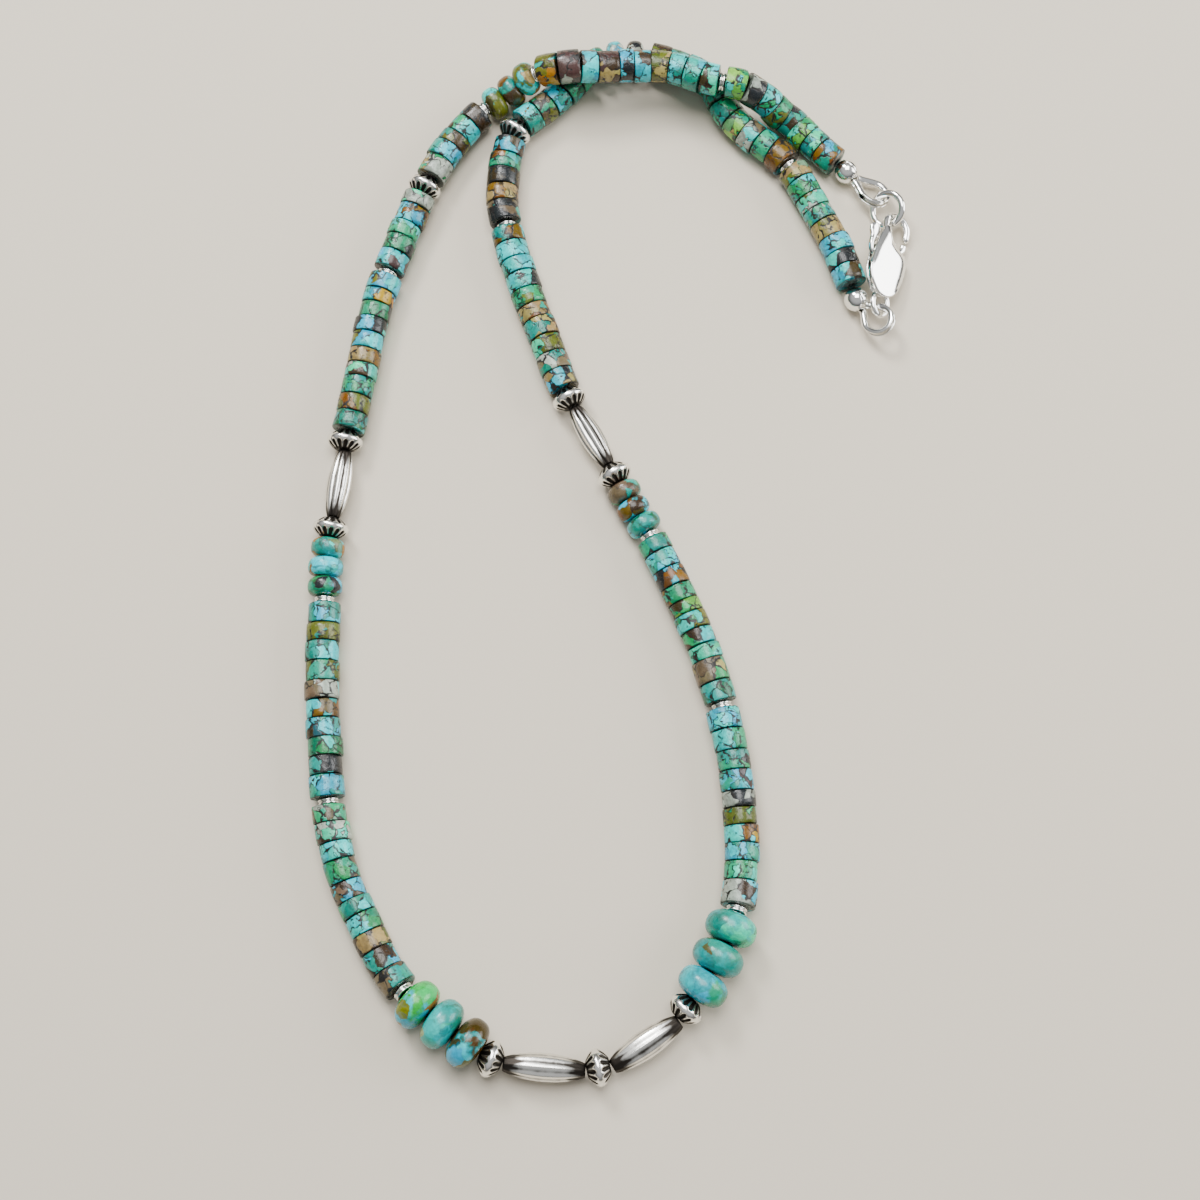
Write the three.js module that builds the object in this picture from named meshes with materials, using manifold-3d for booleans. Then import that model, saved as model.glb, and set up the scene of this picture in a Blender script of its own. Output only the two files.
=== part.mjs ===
// A short strung necklace lying in a closed loop on a flat surface.
// Turquoise heishi discs and rondelles alternate with fluted and long silver beads, and the
// two ends are joined by crimp covers, wire guardians, a jump ring and a lobster clasp.
// Millimetres, +Z up. The origin is the middle of the loop's footprint, on the surface.
import * as THREE from "three";
import { mergeVertices } from "three/addons/utils/BufferGeometryUtils.js";
import Module from "manifold-3d";

const wasm = await Module();
wasm.setup();

// Driving dimensions, mm.
const HEISHI_RADIUS = 2.0;
const HEISHI_SIDES = 10;
const GROOVE_DEPTH = 0.45; // how far the joint between two discs is cut in
const GAP = 0.05; // half of the space left between neighbours on the thread
const SMALL_RONDELLE_RADIUS = 2.05;
const LARGE_RONDELLE_RADIUS = 3.0;
const FLUTED_RADIUS = 2.18;
const FLUTED_LENGTH = 2.8;
const FLUTE_DEPTH = 0.22;
const LONG_RADIUS_FRONT = 1.62;
const LONG_RADIUS_SIDE = 1.5;
const SPACER_RADIUS = 1.12;
const CRIMP_RADIUS = 1.54;
const GUARDIAN_TUBE_RADIUS = 0.5;
const RING_RADIUS = 2.07; // centre of the wire
const RING_WIRE_RADIUS = 0.44;
const LEVER_THICKNESS = 0.8;
const LEVER_SLOT = 1.1;

// The thread's course through the beads: x, y, height. The centre bead hangs at FRONT.
const FRONT = [-0.2, -55.1, 2.2];
const LEFT_ARM = [
  [-6.2, -55.1, 2.2],
  [-12.4, -54.1, 2.5],
  [-15.2, -52.2, 3.1],
  [-18.0, -50.2, 3.1],
  [-20.9, -48.0, 3.1],
  [-23.6, -45.2, 2.4],
  [-27.3, -38.6, 2.0],
  [-30.3, -31.7, 2.0],
  [-31.7, -24.7, 2.0],
  [-32.4, -17.6, 2.0],
  [-32.9, -10.4, 2.0],
  [-33.0, -0.2, 2.0],
  [-33.0, 4.2, 2.1],
  [-32.5, 8.8, 2.2],
  [-31.6, 14.6, 2.2],
  [-31.1, 20.0, 2.2],
  [-30.4, 23.0, 2.1],
  [-29.0, 31.5, 2.0],
  [-27.7, 38.2, 2.0],
  [-26.6, 41.8, 2.0],
  [-24.0, 49.1, 2.0],
  [-22.2, 53.6, 2.2],
  [-20.0, 57.8, 2.0],
  [-17.5, 61.5, 2.0],
  [-14.9, 64.3, 2.1],
  [-13.1, 65.5, 2.3],
  [-11.2, 66.8, 2.9],
  [-9.4, 67.7, 4.1],
  [-7.5, 68.0, 5.35],
  [-5.6, 67.9, 6.2],
  [-3.0, 68.1, 6.45],
  [-0.6, 68.3, 6.1],
  [4.1, 68.7, 5.6],
  [8.1, 68.6, 5.6],
  [11.9, 67.4, 5.9],
  [13.9, 66.5, 6.1],
  [15.7, 66.1, 6.15],
  [18.0, 65.7, 5.95],
  [19.8, 65.1, 5.0],
  [21.5, 64.4, 4.0],
  [23.0, 63.4, 2.9],
  [24.7, 62.4, 2.2],
  [26.2, 60.8, 2.0],
  [27.8, 59.2, 2.0],
  [29.2, 57.8, 2.0],
  [31.3, 56.1, 2.0],
];
const RIGHT_ARM = [
  [5.1, -52.6, 2.2],
  [9.6, -48.7, 2.5],
  [11.7, -46.1, 3.1],
  [13.4, -43.0, 3.1],
  [14.9, -39.8, 3.1],
  [15.9, -36.5, 2.4],
  [16.4, -30.5, 2.0],
  [16.1, -24.7, 2.0],
  [15.4, -18.8, 2.0],
  [14.4, -13.5, 2.0],
  [11.9, -5.5, 2.0],
  [9.6, 0.1, 2.0],
  [6.0, 7.6, 2.0],
  [3.9, 11.1, 2.1],
  [1.6, 15.5, 2.2],
  [-1.2, 20.4, 2.2],
  [-3.9, 25.3, 2.2],
  [-7.5, 34.8, 2.0],
  [-10.0, 41.6, 2.0],
  [-11.9, 48.8, 2.0],
  [-12.4, 51.9, 2.0],
  [-12.0, 57.4, 2.0],
  [-10.9, 61.3, 2.2],
  [-8.7, 63.4, 2.0],
  [-6.9, 64.8, 2.0],
  [-5.2, 66.4, 2.0],
  [-3.7, 68.2, 2.0],
  [-1.5, 70.5, 2.0],
  [2.3, 71.9, 2.1],
  [6.2, 71.9, 2.0],
  [10.6, 70.5, 2.0],
  [13.0, 69.2, 2.0],
  [15.2, 66.9, 2.0],
  [16.1, 64.5, 2.0],
  [17.7, 62.4, 2.0],
  [19.6, 60.6, 2.0],
  [21.2, 59.2, 2.0],
  [23.2, 57.6, 2.0],
  [25.0, 54.9, 2.0],
  [27.1, 50.8, 2.0],
  [28.9, 47.2, 2.0],
  [30.5, 43.4, 2.0],
  [32.0, 38.7, 2.0],
];

// What is strung on each arm from the centre bead outwards: the kind, how many, and the
// length one of them takes on the left and on the right arm. The arms mirror each other.
const STRINGING = [
  ["long_front", 1, 9.45, 9.2],
  ["fluted", 1, 2.8, 2.8],
  ["large_rondelle", 3, 3.56, 3.64],
  ["spacer", 1, 0.9, 0.9],
  ["heishi", 10, 2.32, 2.34],
  ["spacer", 1, 0.9, 0.9],
  ["heishi", 10, 2.35, 2.17],
  ["spacer", 1, 0.9, 0.9],
  ["small_rondelle", 3, 2.42, 2.36],
  ["fluted", 1, 2.6, 2.7],
  ["long_side", 1, 8.6, 8.6],
  ["fluted", 1, 2.6, 2.6],
  ["heishi", 10, 2.09, 2.28],
  ["spacer", 1, 0.9, 0.9],
  ["heishi", 5, 2.18, 2.32],
  ["fluted", 1, 2.7, 2.7],
  ["heishi", 5, 2.26, 2.24],
  ["spacer", 1, 0.9, 0.9],
  ["small_rondelle", 3, 2.6, 2.4],
  ["spacer", 1, 1.0, 0.9],
  ["heishi", 10, 2.32, 2.37],
  ["spacer", 1, 0.9, 0.9],
  ["heishi", 8, 2.27, 2.175],
];
const NODE_NAMES = {
  long_front: "long_silver_bead",
  long_side: "long_silver_bead",
  fluted: "fluted_bead",
  large_rondelle: "large_rondelle",
  small_rondelle: "small_rondelles",
  spacer: "spacer",
  heishi: "heishi_run",
};

const TURQUOISE = new THREE.MeshStandardMaterial({ color: "#4f9c93", roughness: 0.3, metalness: 0 });
const GREEN_TURQUOISE = new THREE.MeshStandardMaterial({ color: "#6f8f5a", roughness: 0.3, metalness: 0 });
const OXIDISED_SILVER = new THREE.MeshStandardMaterial({ color: "#b9b8b4", roughness: 0.35, metalness: 1 });
const POLISHED_SILVER = new THREE.MeshStandardMaterial({ color: "#dcdbd6", roughness: 0.15, metalness: 1 });

// The whole thread is one smooth curve from the left end through the centre to the right end.
const toVector = ([x, y, z]) => new THREE.Vector3(x, y, z);
const thread = new THREE.CatmullRomCurve3(
  [...[...LEFT_ARM].reverse(), FRONT, ...RIGHT_ARM].map(toVector),
  false,
  "centripetal",
);
const STEPS_PER_SPAN = 40;
const SPANS = LEFT_ARM.length + RIGHT_ARM.length;
thread.arcLengthDivisions = STEPS_PER_SPAN * SPANS;
const lengths = thread.getLengths();
const threadLength = lengths[lengths.length - 1];
const centreLength = lengths[STEPS_PER_SPAN * LEFT_ARM.length];

// The frame of the thread at a distance from the centre bead along one arm (side -1 left,
// +1 right): x across, y along the thread away from the centre, z up.
function threadFrame(side, distance) {
  const at = THREE.MathUtils.clamp((centreLength + side * distance) / threadLength, 0, 1);
  const along = thread.getTangentAt(at).multiplyScalar(side);
  const across = along.clone().cross(new THREE.Vector3(0, 0, 1)).normalize();
  const up = across.clone().cross(along);
  return new THREE.Matrix4().makeBasis(across, along, up).setPosition(thread.getPointAt(at));
}

// A body of revolution about y from [radius, y] pairs. A flat of its polygon faces down.
function turned(profile, sides) {
  const points = profile.map(([radius, y]) => new THREE.Vector2(radius, y));
  return new THREE.LatheGeometry(points, sides, Math.PI / sides);
}

// The radius of a polygon's corners, for flats at the given radius.
function cornerRadius(radius, sides) {
  return radius / Math.cos(Math.PI / sides);
}

// How far a piece's end stays back from its joint with the next piece. The end is square to
// the thread at the piece's middle, so a bend brings its inner edge nearer to the joint.
function setback(side, joint, middle, radius) {
  const atJoint = new THREE.Vector3().setFromMatrixColumn(threadFrame(side, joint), 1);
  const atMiddle = new THREE.Vector3().setFromMatrixColumn(threadFrame(side, middle), 1);
  return GAP + radius * Math.tan(atJoint.angleTo(atMiddle));
}

// A row of equal discs with a V joint between neighbours; each disc stays flat and rigid on
// the bent thread, and only the joint rings turn with it.
function discRow(side, start, count, pitch, radius, rounding) {
  const corner = cornerRadius(radius, HEISHI_SIDES);
  const groove = corner - GROOVE_DEPTH;
  const profile = [];
  for (let i = 0; i < count; i++) {
    const middle = (i + 0.5) * pitch;
    const near = i * pitch + setback(side, start + i * pitch, start + middle, corner);
    const far = (i + 1) * pitch - setback(side, start + (i + 1) * pitch, start + middle, corner);
    profile.push(i === 0 ? [0, near] : [groove, i * pitch]);
    profile.push([corner - rounding, near]);
    if (rounding > 0) {
      profile.push([corner, middle - pitch / 6]);
      profile.push([corner, middle + pitch / 6]);
    }
    profile.push([corner - rounding, far]);
    if (i === count - 1) profile.push([0, far]);
  }
  const geometry = turned(profile, HEISHI_SIDES);
  bendToThread(geometry, side, start, pitch);
  return geometry;
}

// Moves a straight row's vertices onto the thread, each disc by the frame of its own middle.
function bendToThread(geometry, side, start, pitch) {
  const positions = geometry.attributes.position;
  const vertex = new THREE.Vector3();
  for (let i = 0; i < positions.count; i++) {
    vertex.fromBufferAttribute(positions, i);
    const joint = Math.round(vertex.y / pitch) * pitch;
    const onJoint = Math.abs(vertex.y - joint) < GAP / 2;
    const anchor = onJoint ? joint : (Math.floor(vertex.y / pitch) + 0.5) * pitch;
    vertex.y -= anchor;
    vertex.applyMatrix4(threadFrame(side, start + anchor));
    positions.setXYZ(i, vertex.x, vertex.y, vertex.z);
  }
}

// A melon-shaped bead: its corners lie by turns on the ridges and in the flutes.
function flutedBead(half) {
  const sides = 24;
  const geometry = turned([[0, -half], [1.35, -half], [FLUTED_RADIUS, 0], [1.35, half], [0, half]], sides);
  const positions = geometry.attributes.position;
  for (let i = 0; i < positions.count; i++) {
    const [x, y, z] = [positions.getX(i), positions.getY(i), positions.getZ(i)];
    const radius = Math.hypot(x, z);
    const corner = Math.round((Math.atan2(x, z) / Math.PI / 2) * sides - 0.5);
    if (radius < 1 || corner % 2 === 0) continue;
    const shrink = (radius - FLUTE_DEPTH) / radius;
    positions.setXYZ(i, x * shrink, y, z * shrink);
  }
  return geometry;
}

// A long eight-sided silver barrel with a narrow collar at each end.
function longBead(half, radius) {
  const profile = [
    [0, -half],
    [radius * 0.62, -half],
    [radius * 0.66, -half + 0.5],
    [radius, -half * 0.35],
    [radius, half * 0.35],
    [radius * 0.66, half - 0.5],
    [radius * 0.62, half],
    [0, half],
  ];
  return turned(profile, 8);
}

// A thick disc with rounded edges.
function largeRondelle(half) {
  const sides = 12;
  const corner = cornerRadius(LARGE_RONDELLE_RADIUS, sides);
  const profile = [
    [0, -half],
    [corner - 0.75, -half],
    [corner, -half * 0.45],
    [corner, half * 0.45],
    [corner - 0.75, half],
    [0, half],
  ];
  return turned(profile, sides);
}

// A small double ring: two beads of metal with a groove between.
function spacerBead(half) {
  const profile = [
    [0, -half],
    [SPACER_RADIUS, -half * 0.8],
    [SPACER_RADIUS, -half * 0.3],
    [SPACER_RADIUS - 0.2, 0],
    [SPACER_RADIUS, half * 0.3],
    [SPACER_RADIUS, half * 0.8],
    [0, half],
  ];
  return turned(profile, 8);
}

function namedMesh(name, geometry, material) {
  const mesh = new THREE.Mesh(geometry, material.clone());
  mesh.name = name;
  return mesh;
}

function placeOnThread(mesh, side, distance) {
  mesh.applyMatrix4(threadFrame(side, distance));
  return mesh;
}

// Beads strung singly: the outer radius, the shape for half a length, and the material.
const SINGLE_BEADS = {
  long_front: [LONG_RADIUS_FRONT, (half) => longBead(half, LONG_RADIUS_FRONT), OXIDISED_SILVER],
  long_side: [LONG_RADIUS_SIDE, (half) => longBead(half, LONG_RADIUS_SIDE), OXIDISED_SILVER],
  fluted: [FLUTED_RADIUS, flutedBead, OXIDISED_SILVER],
  large_rondelle: [LARGE_RONDELLE_RADIUS, largeRondelle, GREEN_TURQUOISE],
  spacer: [SPACER_RADIUS, spacerBead, POLISHED_SILVER],
};

function singleBead(name, kind, side, start, length) {
  const [radius, shape, material] = SINGLE_BEADS[kind];
  const middle = start + length / 2;
  const near = setback(side, start, middle, radius);
  const far = setback(side, start + length, middle, radius);
  const bead = namedMesh(name, shape(length / 2 - Math.max(near, far)), material);
  return placeOnThread(bead, side, middle);
}

// Strings one arm and returns the distance at which its last bead ends.
function stringArm(group, side) {
  const sideName = side < 0 ? "left_" : "right_";
  const numbers = {};
  const nextName = (kind) => {
    const name = sideName + NODE_NAMES[kind];
    numbers[name] = (numbers[name] ?? 0) + 1;
    return name + "_" + numbers[name];
  };
  let distance = FLUTED_LENGTH / 2;
  for (const [kind, count, leftLength, rightLength] of STRINGING) {
    const length = side < 0 ? leftLength : rightLength;
    if (kind === "heishi" || kind === "small_rondelle") {
      const isHeishi = kind === "heishi";
      const radius = isHeishi ? HEISHI_RADIUS : SMALL_RONDELLE_RADIUS;
      const row = discRow(side, distance, count, length, radius, isHeishi ? 0 : 0.4);
      group.add(namedMesh(nextName(kind), row, TURQUOISE));
      distance += count * length;
      continue;
    }
    for (let i = 0; i < count; i++) {
      group.add(singleBead(nextName(kind), kind, side, distance, length));
      distance += length;
    }
  }
  return distance;
}

// The round cover that closes over the crimp at an arm's end.
function crimpCover() {
  const rows = 6;
  const profile = [];
  for (let i = 0; i <= rows; i++) {
    const angle = (i / rows - 0.5) * Math.PI;
    profile.push([i % rows === 0 ? 0 : CRIMP_RADIUS * Math.cos(angle), CRIMP_RADIUS * Math.sin(angle)]);
  }
  return turned(profile, 10);
}

// A round bar along a smooth open path.
function bar(points, radius, sides, steps) {
  const outline = [];
  for (let i = 0; i < sides; i++) {
    const angle = (2 * Math.PI * i) / sides;
    outline.push(new THREE.Vector2(radius * Math.cos(angle), radius * Math.sin(angle)));
  }
  return new THREE.ExtrudeGeometry(new THREE.Shape(outline), {
    steps,
    extrudePath: new THREE.CatmullRomCurve3(points.map(toVector), false, "centripetal"),
  });
}

// The horseshoe that guards the wire's loop: two legs pinched together at the crimp cover,
// opening to an arch. Local x runs away from the cover, y across the legs.
const GUARDIAN_HALF = [
  [1.85, 0.62, 0],
  [2.7, 1.2, 0],
  [3.8, 1.75, 0],
  [4.9, 1.6, 0],
  [5.75, 0.95, 0],
];
const GUARDIAN_REACH = 6.05;

function wireGuardian() {
  const other = [...GUARDIAN_HALF].reverse().map(([x, y, z]) => [x, -y, z]);
  const points = [...GUARDIAN_HALF, [GUARDIAN_REACH, 0, 0], ...other];
  return bar(points, GUARDIAN_TUBE_RADIUS, 7, 16);
}

// A frame from a direction in plan, a slope of that direction and a roll about it, degrees.
function tiltedFrame([x, y, z], heading, slope, roll) {
  const toRadians = THREE.MathUtils.degToRad;
  const turn = new THREE.Euler(toRadians(roll), toRadians(-slope), toRadians(heading), "ZYX");
  return new THREE.Matrix4().makeRotationFromEuler(turn).setPosition(x, y, z);
}

// The lobster clasp, in its own plane: x across, y towards the hook, z through it.
const BODY_DEPTH = 2.2;
const BODY_BEVEL = 0.5;
const BODY_OUTLINE = [
  [-0.1, 2.3],
  [-0.95, 2.3],
  [-1.7, 1.5],
  [-2.2, -0.4],
  [-2.4, -2.0],
  [-2.3, -3.2],
  [-1.75, -4.5],
  [-1.2, -5.2],
  [0.0, -5.5],
  [0.9, -5.0],
  [1.75, -3.6],
  [2.2, -1.6],
  [2.2, -0.3],
  [1.75, 0.5],
  [0.9, 0.95],
  [0.1, 1.35],
];
const HOOK_PATH = [
  [-0.5, 1.2, 0],
  [-0.5, 2.8, 0],
  [-0.48, 4.0, 0],
  [-0.3, 4.9, 0],
  [0.3, 5.45, 0],
  [1.1, 5.45, 0],
  [1.95, 4.95, 0],
  [2.42, 3.9, 0],
  [2.42, 2.75, 0],
];
const HOOK_RADIUS = 0.48;
const EYE_CENTRE = [-0.45, -6.7];
const EYE_RADIUS = 1.4;
const EYE_WIRE_RADIUS = 0.36;
const PIVOT = [0.3, -0.9];
const PIVOT_RADIUS = 0.5;
const PIVOT_CLEARANCE = 0.1;
// The lever's slot: right through the body below the neck, and open upwards at the gate.
const SLOT_BOTTOM = -2.4;
const SLOT_TOP = 0.9;
const SLOT_GATE_SIDE = 0;

// A closed geometry as a solid that can be joined and cut.
function toSolid(geometry) {
  const bare = geometry.clone().deleteAttribute("normal").deleteAttribute("uv");
  const merged = mergeVertices(bare, 1e-4);
  const vertProperties = new Float32Array(merged.attributes.position.array);
  const triVerts = new Uint32Array(merged.index.array);
  return new wasm.Manifold(new wasm.Mesh({ numProp: 3, vertProperties, triVerts }));
}

function toGeometry(solid) {
  const mesh = solid.getMesh();
  const geometry = new THREE.BufferGeometry();
  geometry.setAttribute("position", new THREE.BufferAttribute(mesh.vertProperties, 3));
  geometry.setIndex(new THREE.BufferAttribute(mesh.triVerts, 1));
  geometry.computeVertexNormals();
  return geometry;
}

// A flat plate with rounded rims, centred on its plane.
function plate(outline, depth, bevel) {
  const shape = new THREE.Shape(outline.map(([x, y]) => new THREE.Vector2(x, y)));
  const geometry = new THREE.ExtrudeGeometry(shape, {
    depth: depth - 2 * bevel,
    bevelThickness: bevel,
    bevelSize: bevel,
    bevelOffset: -bevel,
    bevelSegments: 1,
    bevelEnabled: bevel > 0,
  });
  return geometry.translate(0, 0, bevel - depth / 2);
}

// A block from one corner to the other in the clasp's plane, as deep as the lever's slot.
function slotBlock(left, bottom, right, top) {
  const block = new THREE.BoxGeometry(right - left, top - bottom, LEVER_SLOT);
  return toSolid(block.translate((left + right) / 2, (bottom + top) / 2, 0));
}

function claspPin(radius, length) {
  const pin = new THREE.CylinderGeometry(radius, radius, length, 12);
  return toSolid(pin.rotateX(Math.PI / 2).translate(PIVOT[0], PIVOT[1], 0));
}

// Dome, hook and tail eye in one casting, slotted for the lever, with the lever's post.
function claspBody() {
  const dome = toSolid(plate(BODY_OUTLINE, BODY_DEPTH, BODY_BEVEL));
  const hook = toSolid(bar(HOOK_PATH, HOOK_RADIUS, 8, 14));
  const eye = new THREE.TorusGeometry(EYE_RADIUS, EYE_WIRE_RADIUS, 7, 16);
  eye.scale(0.82, 1.1, 1).translate(EYE_CENTRE[0], EYE_CENTRE[1], 0);
  const slotted = dome
    .subtract(slotBlock(-3, SLOT_BOTTOM, 3, SLOT_TOP))
    .subtract(slotBlock(SLOT_GATE_SIDE, SLOT_BOTTOM, 3, 3));
  const post = claspPin(PIVOT_RADIUS, LEVER_SLOT + 0.4);
  return toGeometry(slotted.add(post).add(hook).add(toSolid(eye)));
}

// The lever: a thin V that turns on the post. Its right branch is the gate under the hook's
// tip, and its left branch runs up outside the neck to the thumb tab.
const LEVER_OUTLINE = [
  [0.3, -1.85],
  [1.1, -1.6],
  [1.6, -0.7],
  [2.15, 0.6],
  [2.8, 1.4],
  [2.85, 2.15],
  [2.0, 2.25],
  [1.7, 1.3],
  [0.6, 0.1],
  [-0.6, 0.3],
  [-2.1, 0.65],
  [-2.15, 1.1],
  [-2.0, 1.8],
  [-1.4, 2.6],
  [-1.35, 3.5],
  [-1.8, 3.95],
  [-2.55, 3.9],
  [-3.0, 3.2],
  [-2.95, 2.2],
  [-2.75, 0.9],
  [-2.6, -0.3],
  [-1.9, -0.9],
  [-0.5, -1.4],
];

function claspLever() {
  const lever = toSolid(plate(LEVER_OUTLINE, LEVER_THICKNESS, 0.12));
  return toGeometry(lever.subtract(claspPin(PIVOT_RADIUS + PIVOT_CLEARANCE, 4)));
}

// How the end pieces lie: where each is, and how it is turned. Guardian and ring frames give
// a heading in plan, the upward slope along it and the roll about it, in degrees.
const LEFT_COVER = [31.4, 56.0, 1.6];
const RIGHT_COVER = [32.05, 38.45, 1.6];
const LEFT_GUARDIAN_FRAME = tiltedFrame([31.55, 55.68, 1.55], -39.4, 0, -23.9);
const RIGHT_GUARDIAN_FRAME = tiltedFrame([32.42, 38.5, 0.7], -55, 23.6, 19.9);
const RING_FRAME = tiltedFrame([36.34, 50.62, 1.86], 24.6, 39.7, 0);
const CLASP_CENTRE = [35.92, 44.28, 1.93];
const CLASP_TURN = -5.4; // in plan, clockwise
const CLASP_ROLL = 33.2; // about its length, the gate side down

function jumpRing() {
  const geometry = new THREE.TorusGeometry(RING_RADIUS, RING_WIRE_RADIUS, 7, 20);
  const ring = namedMesh("jump_ring", geometry, POLISHED_SILVER);
  ring.applyMatrix4(RING_FRAME);
  return ring;
}

function claspGroup() {
  const clasp = new THREE.Group();
  clasp.add(namedMesh("clasp_body", claspBody(), POLISHED_SILVER));
  clasp.add(namedMesh("clasp_lever", claspLever(), POLISHED_SILVER));
  clasp.applyMatrix4(claspFrame());
  return clasp;
}

// The clasp lies rolled to its right and turned a little clockwise in plan.
function claspFrame() {
  const toRadians = THREE.MathUtils.degToRad;
  const turn = new THREE.Euler(0, toRadians(CLASP_ROLL), toRadians(CLASP_TURN), "ZXY");
  return new THREE.Matrix4().makeRotationFromEuler(turn).setPosition(...CLASP_CENTRE);
}

function endPieces(group) {
  for (const [name, centre, frame] of [
    ["left_", LEFT_COVER, LEFT_GUARDIAN_FRAME],
    ["right_", RIGHT_COVER, RIGHT_GUARDIAN_FRAME],
  ]) {
    const cover = namedMesh(name + "crimp_cover", crimpCover(), POLISHED_SILVER);
    cover.position.set(...centre);
    const guardian = namedMesh(name + "wire_guardian", wireGuardian(), POLISHED_SILVER);
    guardian.applyMatrix4(frame);
    group.add(cover, guardian);
  }
}

function necklace() {
  const group = new THREE.Group();
  group.add(singleBead("centre_fluted_bead", "fluted", 1, -FLUTED_LENGTH / 2, FLUTED_LENGTH));
  stringArm(group, -1);
  stringArm(group, 1);
  endPieces(group);
  group.add(jumpRing(), claspGroup());
  return group;
}

// The loop is moved so that the origin is under the middle of its footprint.
const part = new THREE.Group();
const loop = necklace();
part.add(loop);
part.updateMatrixWorld(true);
const bounds = new THREE.Box3().setFromObject(part, true);
const middle = bounds.getCenter(new THREE.Vector3());
loop.position.set(-middle.x, -middle.y, -bounds.min.z);
part.updateMatrixWorld(true);

export default part;
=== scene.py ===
"""A short turquoise and silver necklace, closed in a loop and lying on a flat surface.

Heishi discs and rondelles of mixed turquoise are strung with fluted and long silver beads,
mirrored from the centre bead outwards. Crimp covers, wire guardians, a jump ring and a
lobster clasp join the two ends. Lengths are millimetres here and metres in the meshes.
"""

import math

import bmesh
import bpy
import numpy as np
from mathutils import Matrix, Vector


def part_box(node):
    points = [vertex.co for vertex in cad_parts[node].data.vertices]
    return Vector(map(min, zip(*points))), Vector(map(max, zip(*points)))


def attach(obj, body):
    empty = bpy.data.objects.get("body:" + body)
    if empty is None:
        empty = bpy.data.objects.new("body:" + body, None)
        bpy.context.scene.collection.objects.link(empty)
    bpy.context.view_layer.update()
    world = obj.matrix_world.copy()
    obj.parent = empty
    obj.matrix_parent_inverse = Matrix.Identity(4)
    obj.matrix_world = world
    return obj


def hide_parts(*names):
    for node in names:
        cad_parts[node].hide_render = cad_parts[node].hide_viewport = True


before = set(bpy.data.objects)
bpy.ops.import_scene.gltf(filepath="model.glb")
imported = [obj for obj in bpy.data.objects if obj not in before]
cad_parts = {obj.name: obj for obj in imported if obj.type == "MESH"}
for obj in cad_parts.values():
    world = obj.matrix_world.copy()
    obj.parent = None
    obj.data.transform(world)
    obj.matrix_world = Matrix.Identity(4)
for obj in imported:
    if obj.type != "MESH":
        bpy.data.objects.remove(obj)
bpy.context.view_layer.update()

# ------------------------------
# Heishi discs: flat cut discs of mixed turquoise, 4 mm across, ground round on the string
# and polished. They are strung in rows of ten, eight or five on beading wire, pressed
# close, so that each joint is a fine dark line between two slightly uneven edges, made
# darker by dust and by painted shade on the edges.

# The thread's course through the beads: x, y, height. The centre bead sits at FRONT.
FRONT = [-0.2, -55.1, 2.2]
LEFT_ARM = [
    [-6.2, -55.1, 2.2], [-12.4, -54.1, 2.5], [-15.2, -52.2, 3.1], [-18.0, -50.2, 3.1],
    [-20.9, -48.0, 3.1], [-23.6, -45.2, 2.4], [-27.3, -38.6, 2.0], [-30.3, -31.7, 2.0],
    [-31.7, -24.7, 2.0], [-32.4, -17.6, 2.0], [-32.9, -10.4, 2.0], [-33.0, -0.2, 2.0],
    [-33.0, 4.2, 2.1], [-32.5, 8.8, 2.2], [-31.6, 14.6, 2.2], [-31.1, 20.0, 2.2],
    [-30.4, 23.0, 2.1], [-29.0, 31.5, 2.0], [-27.7, 38.2, 2.0], [-26.6, 41.8, 2.0],
    [-24.0, 49.1, 2.0], [-22.2, 53.6, 2.2], [-20.0, 57.8, 2.0], [-17.5, 61.5, 2.0],
    [-14.9, 64.3, 2.1], [-13.1, 65.5, 2.3], [-11.2, 66.8, 2.9], [-9.4, 67.7, 4.1],
    [-7.5, 68.0, 5.35], [-5.6, 67.9, 6.2], [-3.0, 68.1, 6.45], [-0.6, 68.3, 6.1],
    [4.1, 68.7, 5.6], [8.1, 68.6, 5.6], [11.9, 67.4, 5.9], [13.9, 66.5, 6.1],
    [15.7, 66.1, 6.15], [18.0, 65.7, 5.95], [19.8, 65.1, 5.0], [21.5, 64.4, 4.0],
    [23.0, 63.4, 2.9], [24.7, 62.4, 2.2], [26.2, 60.8, 2.0], [27.8, 59.2, 2.0],
    [29.2, 57.8, 2.0], [31.3, 56.1, 2.0],
]
RIGHT_ARM = [
    [5.1, -52.6, 2.2], [9.6, -48.7, 2.5], [11.7, -46.1, 3.1], [13.4, -43.0, 3.1],
    [14.9, -39.8, 3.1], [15.9, -36.5, 2.4], [16.4, -30.5, 2.0], [16.1, -24.7, 2.0],
    [15.4, -18.8, 2.0], [14.4, -13.5, 2.0], [11.9, -5.5, 2.0], [9.6, 0.1, 2.0],
    [6.0, 7.6, 2.0], [3.9, 11.1, 2.1], [1.6, 15.5, 2.2], [-1.2, 20.4, 2.2],
    [-3.9, 25.3, 2.2], [-7.5, 34.8, 2.0], [-10.0, 41.6, 2.0], [-11.9, 48.8, 2.0],
    [-12.4, 51.9, 2.0], [-12.0, 57.4, 2.0], [-10.9, 61.3, 2.2], [-8.7, 63.4, 2.0],
    [-6.9, 64.8, 2.0], [-5.2, 66.4, 2.0], [-3.7, 68.2, 2.0], [-1.5, 70.5, 2.0],
    [2.3, 71.9, 2.1], [6.2, 71.9, 2.0], [10.6, 70.5, 2.0], [13.0, 69.2, 2.0],
    [15.2, 66.9, 2.0], [16.1, 64.5, 2.0], [17.7, 62.4, 2.0], [19.6, 60.6, 2.0],
    [21.2, 59.2, 2.0], [23.2, 57.6, 2.0], [25.0, 54.9, 2.0], [27.1, 50.8, 2.0],
    [28.9, 47.2, 2.0], [30.5, 43.4, 2.0], [32.0, 38.7, 2.0],
]

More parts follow.
